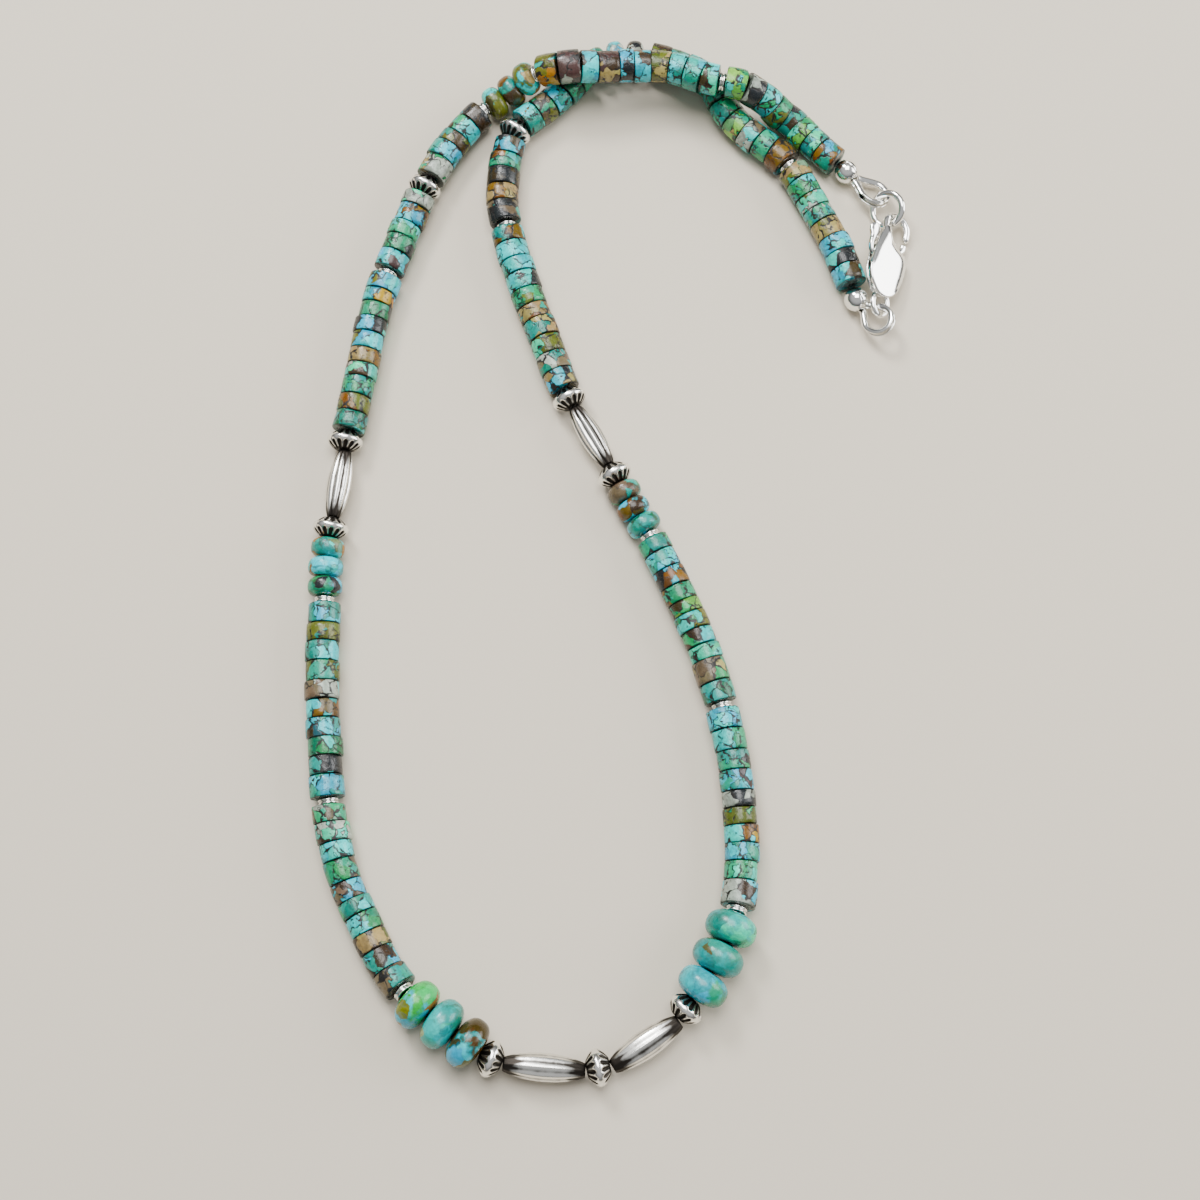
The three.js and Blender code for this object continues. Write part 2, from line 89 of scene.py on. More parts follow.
# What is strung on each arm from the centre bead outwards: the kind, how many, and the
# length that one takes on the left and on the right arm.
STRINGING = [
    ("long_front", 1, 9.45, 9.2), ("fluted", 1, 2.8, 2.8), ("large_rondelle", 3, 3.56, 3.64),
    ("spacer", 1, 0.9, 0.9), ("heishi", 10, 2.32, 2.34), ("spacer", 1, 0.9, 0.9),
    ("heishi", 10, 2.35, 2.17), ("spacer", 1, 0.9, 0.9), ("small_rondelle", 3, 2.42, 2.36),
    ("fluted", 1, 2.6, 2.7), ("long_side", 1, 8.6, 8.6), ("fluted", 1, 2.6, 2.6),
    ("heishi", 10, 2.09, 2.28), ("spacer", 1, 0.9, 0.9), ("heishi", 5, 2.18, 2.32),
    ("fluted", 1, 2.7, 2.7), ("heishi", 5, 2.26, 2.24), ("spacer", 1, 0.9, 0.9),
    ("small_rondelle", 3, 2.6, 2.4), ("spacer", 1, 1.0, 0.9), ("heishi", 10, 2.32, 2.37),
    ("spacer", 1, 0.9, 0.9), ("heishi", 8, 2.27, 2.175),
]
FLUTED_LENGTH = 2.8


def smooth_course(points, steps):
    """Centripetal Catmull-Rom: each span is a cubic whose end slopes come from the square
    roots of the chord lengths on both sides; steps samples a span, the last point added."""
    p = np.array(points, float)
    p = np.vstack([2 * p[0] - p[1], p, 2 * p[-1] - p[-2]])
    gap = np.sqrt(np.linalg.norm(np.diff(p, axis=0), axis=1))[:, None]
    before, span, after = gap[:-2], gap[1:-1], gap[2:]
    p0, p1, p2, p3 = p[:-3], p[1:-2], p[2:-1], p[3:]
    m1 = ((p1 - p0) / before - (p2 - p0) / (before + span) + (p2 - p1) / span) * span
    m2 = ((p2 - p1) / span - (p3 - p1) / (span + after) + (p3 - p2) / after) * span
    t = (np.arange(steps) / steps)[None, :, None]
    p1, p2, m1, m2 = (a[:, None, :] for a in (p1, p2, m1, m2))
    cubic = (2 * p1 - 2 * p2 + m1 + m2) * t**3 + (3 * p2 - 3 * p1 - 2 * m1 - m2) * t**2
    return np.vstack([(cubic + m1 * t + p1).reshape(-1, 3), p[-2]])


STEPS = 40
course = smooth_course(LEFT_ARM[::-1] + [FRONT] + RIGHT_ARM, STEPS)
# The loop's own middle lies on the origin of the part's frame.
hard_low, hard_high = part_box("centre_fluted_bead")
bead_middle = np.array((hard_low + hard_high) / 2) * 1000
course += bead_middle - course[STEPS * len(LEFT_ARM)]
along_course = np.gradient(course, axis=0)
along_course /= np.linalg.norm(along_course, axis=1)[:, None]
run = np.concatenate([[0], np.cumsum(np.linalg.norm(np.diff(course, axis=0), axis=1))])
run -= run[STEPS * len(LEFT_ARM)]
LOOP_SHIFT = bead_middle - np.array(FRONT)


def on_thread(side, distance, turn_at, local):
    """A point of a bead goes to the thread at its distance from the centre bead, plus x
    across the thread and z up square to it, both turned as the thread lies at turn_at."""
    at = side * np.asarray(distance, float)
    place = np.stack([np.interp(at, run, course[:, k]) for k in range(3)], -1)
    at = side * np.asarray(turn_at, float)
    along = side * np.stack([np.interp(at, run, along_course[:, k]) for k in range(3)], -1)
    along /= np.linalg.norm(along, axis=-1)[..., None]
    across = np.cross(along, [0.0, 0.0, 1.0])
    across /= np.linalg.norm(across, axis=-1)[..., None]
    up = np.cross(across, along)
    parts = local[..., 0:1] * across + local[..., 1:2] * along + local[..., 2:3] * up
    return place + parts


def round_thread(ring, y, angle):
    """Points at these distances from the thread: x is the distance times the sine of the
    angle round it, z is the distance times the cosine, and y lies along the thread."""
    x = ring * np.sin(angle)
    return np.stack([x, np.broadcast_to(y, x.shape), ring * np.cos(angle)], -1)


# The CAD's word for each kind. Discs and small rondelles are a node a row, not a node each.
NOUNS = {
    "heishi": "heishi_run", "small_rondelle": "small_rondelles", "spacer": "spacer",
    "large_rondelle": "large_rondelle", "fluted": "fluted_bead",
    "long_front": "long_silver_bead", "long_side": "long_silver_bead",
}
ROWS = ("heishi", "small_rondelle")


def strung(wanted):
    """Every node of this kind: its CAD name, side, first distance, unit length, count."""
    found = []
    for side, side_name in ((-1, "left"), (1, "right")):
        distance, numbers = FLUTED_LENGTH / 2, {}
        for kind, count, left, right in STRINGING:
            noun = NOUNS[kind]
            length = left if side < 0 else right
            row = count if kind in ROWS else 1
            for _ in range(count // row):
                numbers[noun] = numbers.get(noun, 0) + 1
                if kind == wanted:
                    cad = f"{side_name}_{noun}_{numbers[noun]}"
                    found.append((cad, side, distance, length, row))
                distance += length * row
    return found


def full_turn(steps):
    """The angles of equal steps round a circle."""
    return np.arange(steps) * 2 * math.pi / steps


def closed_rings(count, rows, around):
    """Quads of count equal grids, each closed round both ways: row v, column u joins the
    next row and the next column, and the last joins the first."""
    v, u = np.meshgrid(np.arange(rows), np.arange(around), indexing="ij")
    v2, u2 = (v + 1) % rows, (u + 1) % around
    quad = np.stack([v * around + u, v * around + u2, v2 * around + u2, v2 * around + u], -1)
    step = (np.arange(count) * rows * around)[:, None, None]
    return (quad.reshape(1, -1, 4) + step).reshape(-1, 4)


def new_piece(name, points, faces, material, marks):
    """A smooth-shaded mesh object in metres from points in millimetres, with marks, which
    are one number or one triple for each point, stored for the material to read."""
    mesh = bpy.data.meshes.new(name)
    points = np.asarray(points, float).reshape(-1, 3) * 0.001
    mesh.from_pydata(points, [], [tuple(int(i) for i in face) for face in faces])
    for mark, values in marks.items():
        values = np.asarray(values, np.float32)
        triple = values.size == len(points) * 3
        stored = mesh.attributes.new(mark, "FLOAT_VECTOR" if triple else "FLOAT", "POINT")
        stored.data.foreach_set("vector" if triple else "value", values.reshape(-1))
    mesh.shade_smooth()
    mesh.materials.append(material)
    piece = bpy.data.objects.new(name, mesh)
    bpy.context.scene.collection.objects.link(piece)
    return piece


def linear(hex_colour):
    """sRGB hex to linear red, green, blue and full alpha."""
    parts = [int(hex_colour[i : i + 2], 16) / 255 for i in (1, 3, 5)]
    return tuple(c / 12.92 if c <= 0.04045 else ((c + 0.055) / 1.055) ** 2.4 for c in parts) + (1,)


def node(tree, kind, settings=None, links=None):
    """Adds a shader node, sets its properties or its numbered or named inputs, and links
    inputs to other nodes' sockets."""
    made = tree.nodes.new("ShaderNode" + kind)
    for key, value in (settings or {}).items():
        if isinstance(key, int) or key in made.inputs and not hasattr(type(made), key):
            made.inputs[key].default_value = value
        else:
            setattr(made, key, value)
    for key, source in (links or {}).items():
        tree.links.new(source, made.inputs[key])
    return made


# The sizes of the stone's patterns in millimetres. Real crackle is finer than this, and is
# drawn as coarse as it needs to show.
BEND_MM, PATCH_MM, CLOUD_MM, VEIN_BREAK_MM, PIT_MM = 1.1, 2.4, 0.45, 1.25, 0.6
CRACKS_PER_CHIP = 2.6
# Where the patch noise gives way to the second hue, and the chip's number to the third.
SECOND_FROM, THIRD_FROM = 0.53, 0.84


def polished_turquoise(name, chip_mm, softness, chips, veins, vein_colour, bump_mm, richness):
    """Matrix turquoise, sawn and tumble polished: chips of clear stone in two or three
    hues, outlined by dark limonite veins, under a wet-looking polish. A chip is chip_mm
    wide, and two hues meet over softness. The value chips is how far single chips stray
    between the hues, veins is how dark the veins are, and richness is the saturation."""
    material = bpy.data.materials.new(name)
    material.use_nodes = True
    tree = material.node_tree
    shader = tree.nodes["Principled BSDF"]
    place = node(tree, "TexCoord").outputs["Object"]
    seed = node(tree, "Attribute", {"attribute_name": "seed"}).outputs["Vector"]
    hues = [
        node(tree, "Attribute", {"attribute_name": f"hue_{k}"}).outputs["Vector"]
        for k in "abc"
    ]
    lean, edge = (
        node(tree, "Attribute", {"attribute_name": mark}).outputs["Fac"]
        for mark in ("lean", "edge")
    )
    stone = node(tree, "VectorMath", {"operation": "MULTIPLY_ADD", 1: (1000,) * 3},
                 {0: place, 2: seed}).outputs[0]
    bend = node(tree, "TexNoise", {"Scale": 1 / BEND_MM, "Detail": 2.0}, {"Vector": stone})
    bent = node(tree, "VectorMath", {"operation": "MULTIPLY_ADD", 1: (1.1,) * 3},
                {0: bend.outputs["Color"], 2: stone}).outputs[0]
    cells = node(tree, "TexVoronoi", {"Scale": 1 / chip_mm}, {"Vector": bent})
    chip = node(tree, "SeparateColor", {}, {0: cells.outputs["Color"]})
    border = node(tree, "TexVoronoi",
                  {"feature": "DISTANCE_TO_EDGE", "Scale": 1 / chip_mm}, {"Vector": bent})
    patch = node(tree, "TexNoise", {"Scale": 1 / PATCH_MM, "Detail": 3.0, "Roughness": 0.55},
                 {"Vector": bent})
    # The second hue gathers on one side of the bead, and keeps to whole chips.
    sway = node(tree, "Math", {"operation": "MULTIPLY_ADD", 1: chips, 2: -chips / 2},
                {0: chip.outputs[0]})
    sway = node(tree, "Math", {"operation": "MULTIPLY_ADD", 1: 0.26},
                {0: lean, 2: sway.outputs[0]})
    level = node(tree, "Math", {"operation": "ADD"},
                 {0: patch.outputs["Fac"], 1: sway.outputs[0]})
    second = node(tree, "MapRange",
                  {"interpolation_type": "SMOOTHSTEP", 1: SECOND_FROM - softness,
                   2: SECOND_FROM + softness}, {0: level.outputs[0]})
    body = node(tree, "Mix", {"data_type": "RGBA"},
                {0: second.outputs[0], 6: hues[0], 7: hues[1]})
    third = node(tree, "MapRange",
                 {"interpolation_type": "SMOOTHSTEP", 1: THIRD_FROM - softness,
                  2: THIRD_FROM + softness}, {0: chip.outputs[1]})
    body = node(tree, "Mix", {"data_type": "RGBA"},
                {0: third.outputs[0], 6: body.outputs[2], 7: hues[2]})
    # Each chip is a little bluer or greener, lighter or darker, and clouded inside.
    turned = node(tree, "MapRange", {1: 0.0, 2: 1.0, 3: 0.474, 4: 0.526},
                  {0: chip.outputs[2]})
    body = node(tree, "HueSaturation", {"Saturation": richness},
                {"Hue": turned.outputs[0], "Color": body.outputs[2]})
    cloud = node(tree, "TexNoise", {"Scale": 1 / CLOUD_MM, "Detail": 4.0, "Roughness": 0.65},
                 {"Vector": bent})
    light = node(tree, "Math", {"operation": "MULTIPLY_ADD", 1: 1.8 / richness, 2: -0.05},
                 {0: cloud.outputs["Fac"]})
    light = node(tree, "Math", {"operation": "MULTIPLY_ADD", 1: 0.6},
                 {0: chip.outputs[0], 2: light.outputs[0]})
    shade = node(tree, "VectorMath", {"operation": "SCALE"},
                 {0: body.outputs[0], "Scale": light.outputs[0]})
    # Fine crackle and the darker veins between chips, broken up along their length.
    crackle = node(tree, "TexVoronoi",
                   {"feature": "DISTANCE_TO_EDGE", "Scale": CRACKS_PER_CHIP / chip_mm},
                   {"Vector": bent})
    fine = node(tree, "MapRange", {1: 0.0, 2: 0.05, 3: 0.4 * veins, 4: 0.0},
                {0: crackle.outputs["Distance"]})
    broken = node(tree, "TexNoise", {"Scale": 1 / VEIN_BREAK_MM, "Detail": 2.0}, {"Vector": stone})
    width = node(tree, "MapRange", {1: 0.36, 2: 0.62, 3: -0.03, 4: 0.085},
                 {0: broken.outputs["Fac"]})
    clear = node(tree, "Math", {"operation": "SUBTRACT"},
                 {0: border.outputs["Distance"], 1: width.outputs[0]})
    vein = node(tree, "MapRange", {1: -0.035, 2: 0.015, 3: veins, 4: 0.0},
                {0: clear.outputs[0]})
    # The same dark line runs round each patch of the second hue.
    meeting = node(tree, "Math", {"operation": "COMPARE", 1: SECOND_FROM, 2: 0.012},
                   {0: level.outputs[0]})
    meeting = node(tree, "Math", {"operation": "MULTIPLY", 1: veins},
                   {0: meeting.outputs[0]})
    # Small pits filled with dark matrix.
    pitted = node(tree, "TexNoise", {"Scale": 1 / PIT_MM, "Detail": 3.0}, {"Vector": stone})
    pits = node(tree, "MapRange", {1: 0.64, 2: 0.69, 3: 0.0, 4: veins * 0.8},
                {0: pitted.outputs["Fac"]})
    fine = node(tree, "Math", {"operation": "MULTIPLY"},
                {0: fine.outputs[0], 1: broken.outputs["Fac"]})
    dark = vein
    for mark in (meeting, pits, fine):
        dark = node(tree, "Math", {"operation": "MAXIMUM"},
                    {0: dark.outputs[0], 1: mark.outputs[0]})
    veined = node(tree, "Mix", {"data_type": "RGBA", 7: linear(vein_colour)},
                  {0: dark.outputs[0], 6: shade.outputs[0]})
    # Polishing dust and wear, and painted shade where the beads meet, darken the edge at each
    # joint.
    rim = node(tree, "Mix", {"data_type": "RGBA", 7: linear("#0d1110")},
               {0: edge, 6: veined.outputs[2]})
    relief = node(tree, "Math", {"operation": "MULTIPLY_ADD", 1: -1.0},
                  {0: dark.outputs[0], 2: cloud.outputs["Fac"]})
    bump = node(tree, "Bump", {"Strength": 0.6, "Distance": bump_mm * 0.001},
                {"Height": relief.outputs[0]})
    gloss = node(tree, "MapRange", {1: 0.0, 2: 1.0, 3: 0.25, 4: 0.5},
                 {0: dark.outputs[0]})
    tree.links.new(rim.outputs[2], shader.inputs["Base Color"])
    tree.links.new(gloss.outputs[0], shader.inputs["Roughness"])
    tree.links.new(bump.outputs[0], shader.inputs["Normal"])
    shader.inputs["IOR"].default_value = 1.55
    shader.inputs["Specular IOR Level"].default_value = 0.38
    shader.inputs["Coat Weight"].default_value = 0.08
    shader.inputs["Coat Roughness"].default_value = 0.12
    return material


# The stones' hues by letter.
HUES = {
    "a": "#12bab4", "t": "#0b8576", "b": "#0fadc0", "g": "#2c8c63", "e": "#145a3e",
    "o": "#545a2a", "c": "#96702f", "k": "#8f8259", "r": "#66491f", "n": "#352a1b",
    "m": "#5e5342", "d": "#1a1e20", "l": "#98a196", "p": "#40302e", "s": "#58c6a6",
    "v": "#6fa257", "j": "#0d9990", "u": "#3d3119", "w": "#6fae7c",
}
# One word a disc, from the centre outwards: its main hue, the second, the odd chips, where
# the second lies, ( at one side, ) at the other, - scattered, and its thickness in 0.1 mm.
HEISHI_STONES = {
    "left_heishi_run_1": "mtd)26 tbn-26 nok)22 gam(23 agt(19 bmn(22 gtm-26 aat-21 sln-23 mgl-21",
    "left_heishi_run_2": "btc-26 dta(22 gea-22 btn-23 atr)22 mla)22 otg-24 tae)24 tob-22 tbd-25",
    "left_heishi_run_3": "tea-23 ort(22 tga-24 sln-18 kro-20 bao)22 bsd-20 ged-20 acb-18 boa(22",
    "left_heishi_run_4": "abp-24 ged-22 aga-20 bro)25 lls-18",
    "left_heishi_run_5": "lgk-27 bta-22 ton)17 agn(23 nda-21",
    "left_heishi_run_6": "aco)24 dpl-26 ban)22 pkn)27 bbd-19 bmn(22 oko-24 aat-21 atb)23 asn)20",
    "left_heishi_run_7": "gva-24 lmd-22 abg)23 gon)21 tdn(22 vsg-22 tsa-20 trb-26",
    "right_heishi_run_1": "lbn-29 gsn)22 btd-21 acr)21 ogn-20 ldm-19 btp(24 tgd-23 agk)25 bab-25",
    "right_heishi_run_2": "eto-24 mgk)28 sta-19 agn(20 aog)21 vgn(17 grm-21 brd-23 abt-23 tge-20",
    "right_heishi_run_3": "bdk)24 tlm-24 ose(24 trk)25 ktr-20 ego-23 adn)23 atk(20 aat-23 tar-22",
    "right_heishi_run_4": "dtm)27 nrk-23 dnt-24 gtr)22 bdn-23",
    "right_heishi_run_5": "tar-24 gom-22 tbt-22 teg-22 tgt-22",
    "right_heishi_run_6": "ont-24 teg-23 tab-24 teo-24 tgt-24 tge-24 gvk-23 lam-22 tgt-22 rnb(26",
    "right_heishi_run_7": "kot)21 gta-25 slo-20 tgl-20 kko-25 bba-23 dpa(20 ban-24",
}

heishi_stone = polished_turquoise(
    "matrix turquoise, sawn and polished", chip_mm=1.6, softness=0.015, chips=0.34,
    veins=1.0, vein_colour="#0b0806", bump_mm=0.05, richness=1.2)
chance = np.random.default_rng(31)

HEISHI_RADIUS = 2.0
HOLE_RADIUS = 0.42
HEISHI_BEVEL = 0.13
NICK_DEPTH = 0.13
# How far each disc's face stays back from its joint with the next disc.
HEISHI_GAP = 0.035


def disc_profile(half, radius, bevel):
    """Columns of distance from the thread and place along it, round a disc's wall and back
    through its drill hole, with how far each point counts as the edge that dust and painted
    shade darken."""
    corner = np.linspace(0, math.pi / 2, 4)
    near_r = radius - bevel + bevel * np.sin(corner)
    near_y = -half + bevel - bevel * np.cos(corner)
    barrel = np.linspace(-1, 1, 5)[1:-1]
    face = np.array([HOLE_RADIUS, radius - bevel - 0.3])
    belly = radius + 0.02 * (1 - barrel**2)
    r = np.concatenate([face, near_r, belly, near_r[::-1], face[::-1]])
    wall = np.concatenate([near_y, barrel * (half - bevel), -near_y[::-1]])
    y = np.concatenate([[-half, -half], wall, [half, half]])
    # How dark each point of the rounded corner is, from dust and from painted shade where the
    # discs meet.
    corner_dust_and_shade = [0.75, 0.8, 0.55, 0.1]
    edge = np.concatenate([[1, 0.55], corner_dust_and_shade, [0, 0, 0], corner_dust_and_shade[::-1], [0.55, 1]])
    return r[:, None], y[:, None], edge[:, None]


def stone_marks(words, shape, lean_of):
    """Hues, seed and lean of each bead as marks for all its points."""
    marks = {}
    for k, mark in enumerate(("hue_a", "hue_b", "hue_c")):
        hue = np.array([linear(HUES[word[k]])[:3] for word in words])
        marks[mark] = np.broadcast_to(hue[:, None, None, :], shape + (3,))
    seeds = chance.uniform(-400, 400, (len(words), 3))
    marks["seed"] = np.broadcast_to(seeds[:, None, None, :], shape + (3,))
    sign = np.array([{"(": -1.0, ")": 1.0, "-": 0.0}[word[3]] for word in words])
    marks["lean"] = sign[:, None, None] * lean_of - 0.25 * np.abs(sign)[:, None, None]
    return marks


AROUND = 44
for cad, side, start, pitch, count in strung("heishi"):
    words = HEISHI_STONES[cad].split()
    thick = np.array([float(word[4:]) for word in words])
    thick *= pitch * count / thick.sum()
    middle = (start + np.cumsum(thick) - thick / 2)[:, None, None]
    angle = full_turn(AROUND)
    # Discs sawn and ground by hand differ a little in width and roundness, sit a little off
    # the thread and aslant, and have three small nicks each in their edges.
    radius = HEISHI_RADIUS * (1 + chance.uniform(-0.045, 0.035, count))
    oval = chance.uniform(0, 0.018, count)
    oval_turn = chance.uniform(0, math.pi, count)
    shift = chance.uniform(-0.11, 0.11, (count, 2))
    shift[:, 1] = 0.5 * np.abs(shift[:, 1])
    nick = chance.uniform(0, 2 * math.pi, (count, 3))
    tilt = chance.uniform(-0.022, 0.022, (count, 2))
    grids, dust_and_shade_grids = [], []
    for k in range(count):
        r, y, edge = disc_profile(thick[k] / 2 - HEISHI_GAP, radius[k], HEISHI_BEVEL)
        corner = np.where((edge > 0.3) & (r > 1.6), 1.0, 0.0)
        wave = 1 + oval[k] * np.cos(2 * (angle - oval_turn[k]))
        wave = wave + 0.006 * np.sin(5 * angle + 7 * oval_turn[k])
        ring = r * np.where(r > 1, wave, 1.0)
        chipped = sum(np.exp(-((np.cos(angle - turn) - 1) / 0.03) ** 2) for turn in nick[k])
        ring -= NICK_DEPTH * chipped * corner
        x, z = ring * np.sin(angle), ring * np.cos(angle)
        lift = y + tilt[k, 0] * x + tilt[k, 1] * z
        grids.append(np.stack([x + shift[k, 0], lift, z + shift[k, 1]], -1))
        dust_and_shade_grids.append(np.broadcast_to(edge, x.shape))
    local = np.array(grids)
    shape = local.shape[:3]
    along = local[..., 1]
    flat = local * np.array([1.0, 0.0, 1.0])
    # A disc stays nearly flat on the bent thread: its own turn lags behind its place.
    points = on_thread(side, middle + along, middle + 0.75 * along, flat)
    marks = stone_marks(words, shape, local[..., 0] / HEISHI_RADIUS)
    marks["edge"] = np.array(dust_and_shade_grids)
    piece = new_piece(cad.replace("run", "discs"), points, closed_rings(*shape),
                      heishi_stone, marks)
    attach(piece, "necklace")
    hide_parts(cad)

# ------------------------------
# Small rondelles: tumbled turquoise beads a little wider than the discs, thick lens shapes
# with round edges, three together beside each fluted bead and under the crossed strands.

SMALL_RADIUS = 2.08
SMALL_GAP = 0.03
SMALL_STONES = {
    "left_small_rondelles_1": "gbd) abr- tac)",
    "left_small_rondelles_2": "oan( tnr) oak-",
    "right_small_rondelles_1": "tbe- nbr- mtg)",
    "right_small_rondelles_2": "gae- blm- dln-",
}
small_stone = polished_turquoise(
    "matrix turquoise, tumbled small", chip_mm=1.5, softness=0.04, chips=0.3,
    veins=0.6, vein_colour="#2a2019", bump_mm=0.03, richness=1.2)


def rondelle_profile(half, radius, power):
    """Half a superellipse from the hole at one face out to the belly and back to the hole
    at the other: radius to the power plus place along the thread to the power is one."""
    t = np.linspace(-1, 1, 17)[:, None]
    swing = np.abs(np.sin(t * math.pi / 2))
    y = half * np.sign(t) * swing ** (2 / power)
    r = HOLE_RADIUS + (radius - HOLE_RADIUS) * np.cos(t * math.pi / 2) ** (2 / power)
    return r, y


for cad, side, start, pitch, count in strung("small_rondelle"):
    middle = (start + (np.arange(count) + 0.5) * pitch)[:, None, None]
    angle = full_turn(AROUND)
    r, y = rondelle_profile(pitch / 2 - SMALL_GAP, SMALL_RADIUS, 2.7)
    size = 1 + chance.uniform(-0.03, 0.03, (count, 1, 1))
    shift = chance.uniform(-0.06, 0.06, (count, 2))
    belly = (r - HOLE_RADIUS) / (SMALL_RADIUS - HOLE_RADIUS)
    ring = HOLE_RADIUS + (r - HOLE_RADIUS) * size
    ring = ring * (1 + 0.012 * np.sin(3 * angle + 2.0) * belly)
    local = round_thread(ring, y, angle)
    local[..., 0] += shift[:, 0, None, None]
    local[..., 2] += shift[:, 1, None, None]
    shape = local.shape[:3]
    middle = np.broadcast_to(middle, shape)
    points = on_thread(side, middle, middle, local)
    marks = stone_marks(SMALL_STONES[cad].split(), shape, local[..., 0] / SMALL_RADIUS)
    # Dust and painted shade darken the faces towards the hole, where the beads meet.
    marks["edge"] = np.broadcast_to(np.clip(1 - belly * 1.6, 0, 1), shape)
    piece = new_piece(cad.replace("small_rondelles", "small_rondelle_stones"), points,
                      closed_rings(*shape), small_stone, marks)
    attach(piece, "necklace")
    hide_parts(cad)

# ------------------------------
# Large rondelles: six thick tumbled turquoise beads, 6 mm across, three on each side of
# the centre. They are softer in pattern than the discs, in clouds of teal and green with
# tan or ochre patches, and highly polished.

LARGE_RADIUS = 3.0
LARGE_GAP = 0.04
LARGE_AROUND = 72
LARGE_STONES = {
    "left_large_rondelle_1": "ubo(",
    "left_large_rondelle_2": "atk)",
    "left_large_rondelle_3": "wbc(",
    "right_large_rondelle_1": "bgb)",
    "right_large_rondelle_2": "jtr-",
    "right_large_rondelle_3": "jsr)",
}
large_stone = polished_turquoise(
    "matrix turquoise, tumbled large", chip_mm=2.3, softness=0.09, chips=0.16,
    veins=0.22, vein_colour="#3a2c1c", bump_mm=0.02, richness=1.6)

for cad, side, start, length, _ in strung("large_rondelle"):
    angle = full_turn(LARGE_AROUND)
    r, y = rondelle_profile(length / 2 - LARGE_GAP, LARGE_RADIUS, 2.45)
    belly = (r - HOLE_RADIUS) / (LARGE_RADIUS - HOLE_RADIUS)
    turn = chance.uniform(0, 6.28)
    ring = r * (1 + 0.012 * np.sin(2 * angle + turn) * belly)
    local = round_thread(ring, y, angle)[None]
    shape = local.shape[:3]
    middle = np.full(shape, start + length / 2)
    points = on_thread(side, middle, middle, local)
    marks = stone_marks([LARGE_STONES[cad]], shape, local[..., 0] / LARGE_RADIUS)
    # Dust and painted shade darken the faces towards the hole, where the beads meet.
    marks["edge"] = np.broadcast_to(np.clip(1 - belly * 2.2, 0, 1), shape)
    piece = new_piece(cad + "_stone", points, closed_rings(*shape), large_stone, marks)
    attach(piece, "necklace")
    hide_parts(cad)

# ------------------------------
# Fluted beads: cast silver saucers, two fluted cones meeting at a bright crest band. The
# flutes run from each hole up to the crest, where their ends leave a scalloped edge. Liver
# of sulphur blackened them, and polishing left only the crest and the ridges bright.

# How far a silver bead stays back from its joint with the next one.
BEAD_GAP = 0.04
FLUTED_RADIUS = 2.18
FLUTES = 14
FLUTED_COLLAR = 0.82
FLUTE_DEPTH = 0.22
CREST_STEP = 0.07
STAIN_MM = 1.1


def silver(name, bright, dark, rough, line_mm, line_depth_mm, grime):
    """Sterling silver: bright where rubbed, and dark where the point's mark is high, which is
    sulphide in the hollows and painted shade in holes, seams and gaps, with fine polishing
    lines in its bump and gloss."""
    material = bpy.data.materials.new(name)
    material.use_nodes = True
    tree = material.node_tree
    shader = tree.nodes["Principled BSDF"]
    place = node(tree, "TexCoord").outputs["Object"]
    shadow = node(tree, "Attribute", {"attribute_name": "shadow"}).outputs["Fac"]
    lines = node(tree, "TexNoise", {"Scale": 1000 / line_mm, "Detail": 3.0}, {"Vector": place})
    stain = node(tree, "TexNoise", {"Scale": 1000 / STAIN_MM, "Detail": 4.0, "Roughness": 0.6},
                 {"Vector": place})
    spread = node(tree, "Math", {"operation": "MULTIPLY_ADD", 1: grime, 2: -grime / 2},
                  {0: stain.outputs["Fac"]})
    level = node(tree, "Math", {"operation": "ADD", "use_clamp": True},
                 {0: shadow, 1: spread.outputs[0]})
    tone = node(tree, "MapRange", {"interpolation_type": "SMOOTHSTEP", 1: 0.25, 2: 0.75},
                {0: level.outputs[0]})
    colour = node(tree, "Mix", {"data_type": "RGBA", 6: linear(bright), 7: linear(dark)},
                  {0: tone.outputs[0]})
    gloss = node(tree, "MapRange", {1: 0.0, 2: 1.0, 3: rough, 4: rough + 0.22},
                 {0: tone.outputs[0]})
    bump = node(tree, "Bump", {"Strength": 0.5, "Distance": line_depth_mm * 0.001},
                {"Height": lines.outputs["Fac"]})
    tree.links.new(colour.outputs[2], shader.inputs["Base Color"])
    tree.links.new(gloss.outputs[0], shader.inputs["Roughness"])
    tree.links.new(bump.outputs[0], shader.inputs["Normal"])
    shader.inputs["Metallic"].default_value = 1.0
    return material


oxidised_silver = silver("sterling silver, oxidised and rubbed back", "#f6f4ee", "#302d29",
                         rough=0.2, line_mm=0.4, line_depth_mm=0.02, grime=0.25)


def bored(ring, y, shadow, angle):
    """A silver bead's points and its mark of oxide and painted shade from its distances round
    the thread, with painted shade added at the drill hole's edge at both ends."""
    hole, dark = np.full((1, len(angle)), HOLE_RADIUS), np.ones((1, len(angle)))
    ring, y = np.vstack([hole, ring, hole]), np.vstack([y[:1], y, y[-1:]])
    return round_thread(ring, y, angle), np.vstack([dark, shadow, dark])


def silver_bead(name, side, start, length, surface, material):
    """A bead's own points and its mark of oxide and painted shade, strung with its middle half a
    length past its start.
    """
    local, shadow = surface
    middle = np.full(shadow.shape, start + length / 2)
    points = on_thread(side, middle, middle, local)
    faces = closed_rings(1, *shadow.shape)
    return new_piece(name, points, faces, material, {"shadow": shadow})


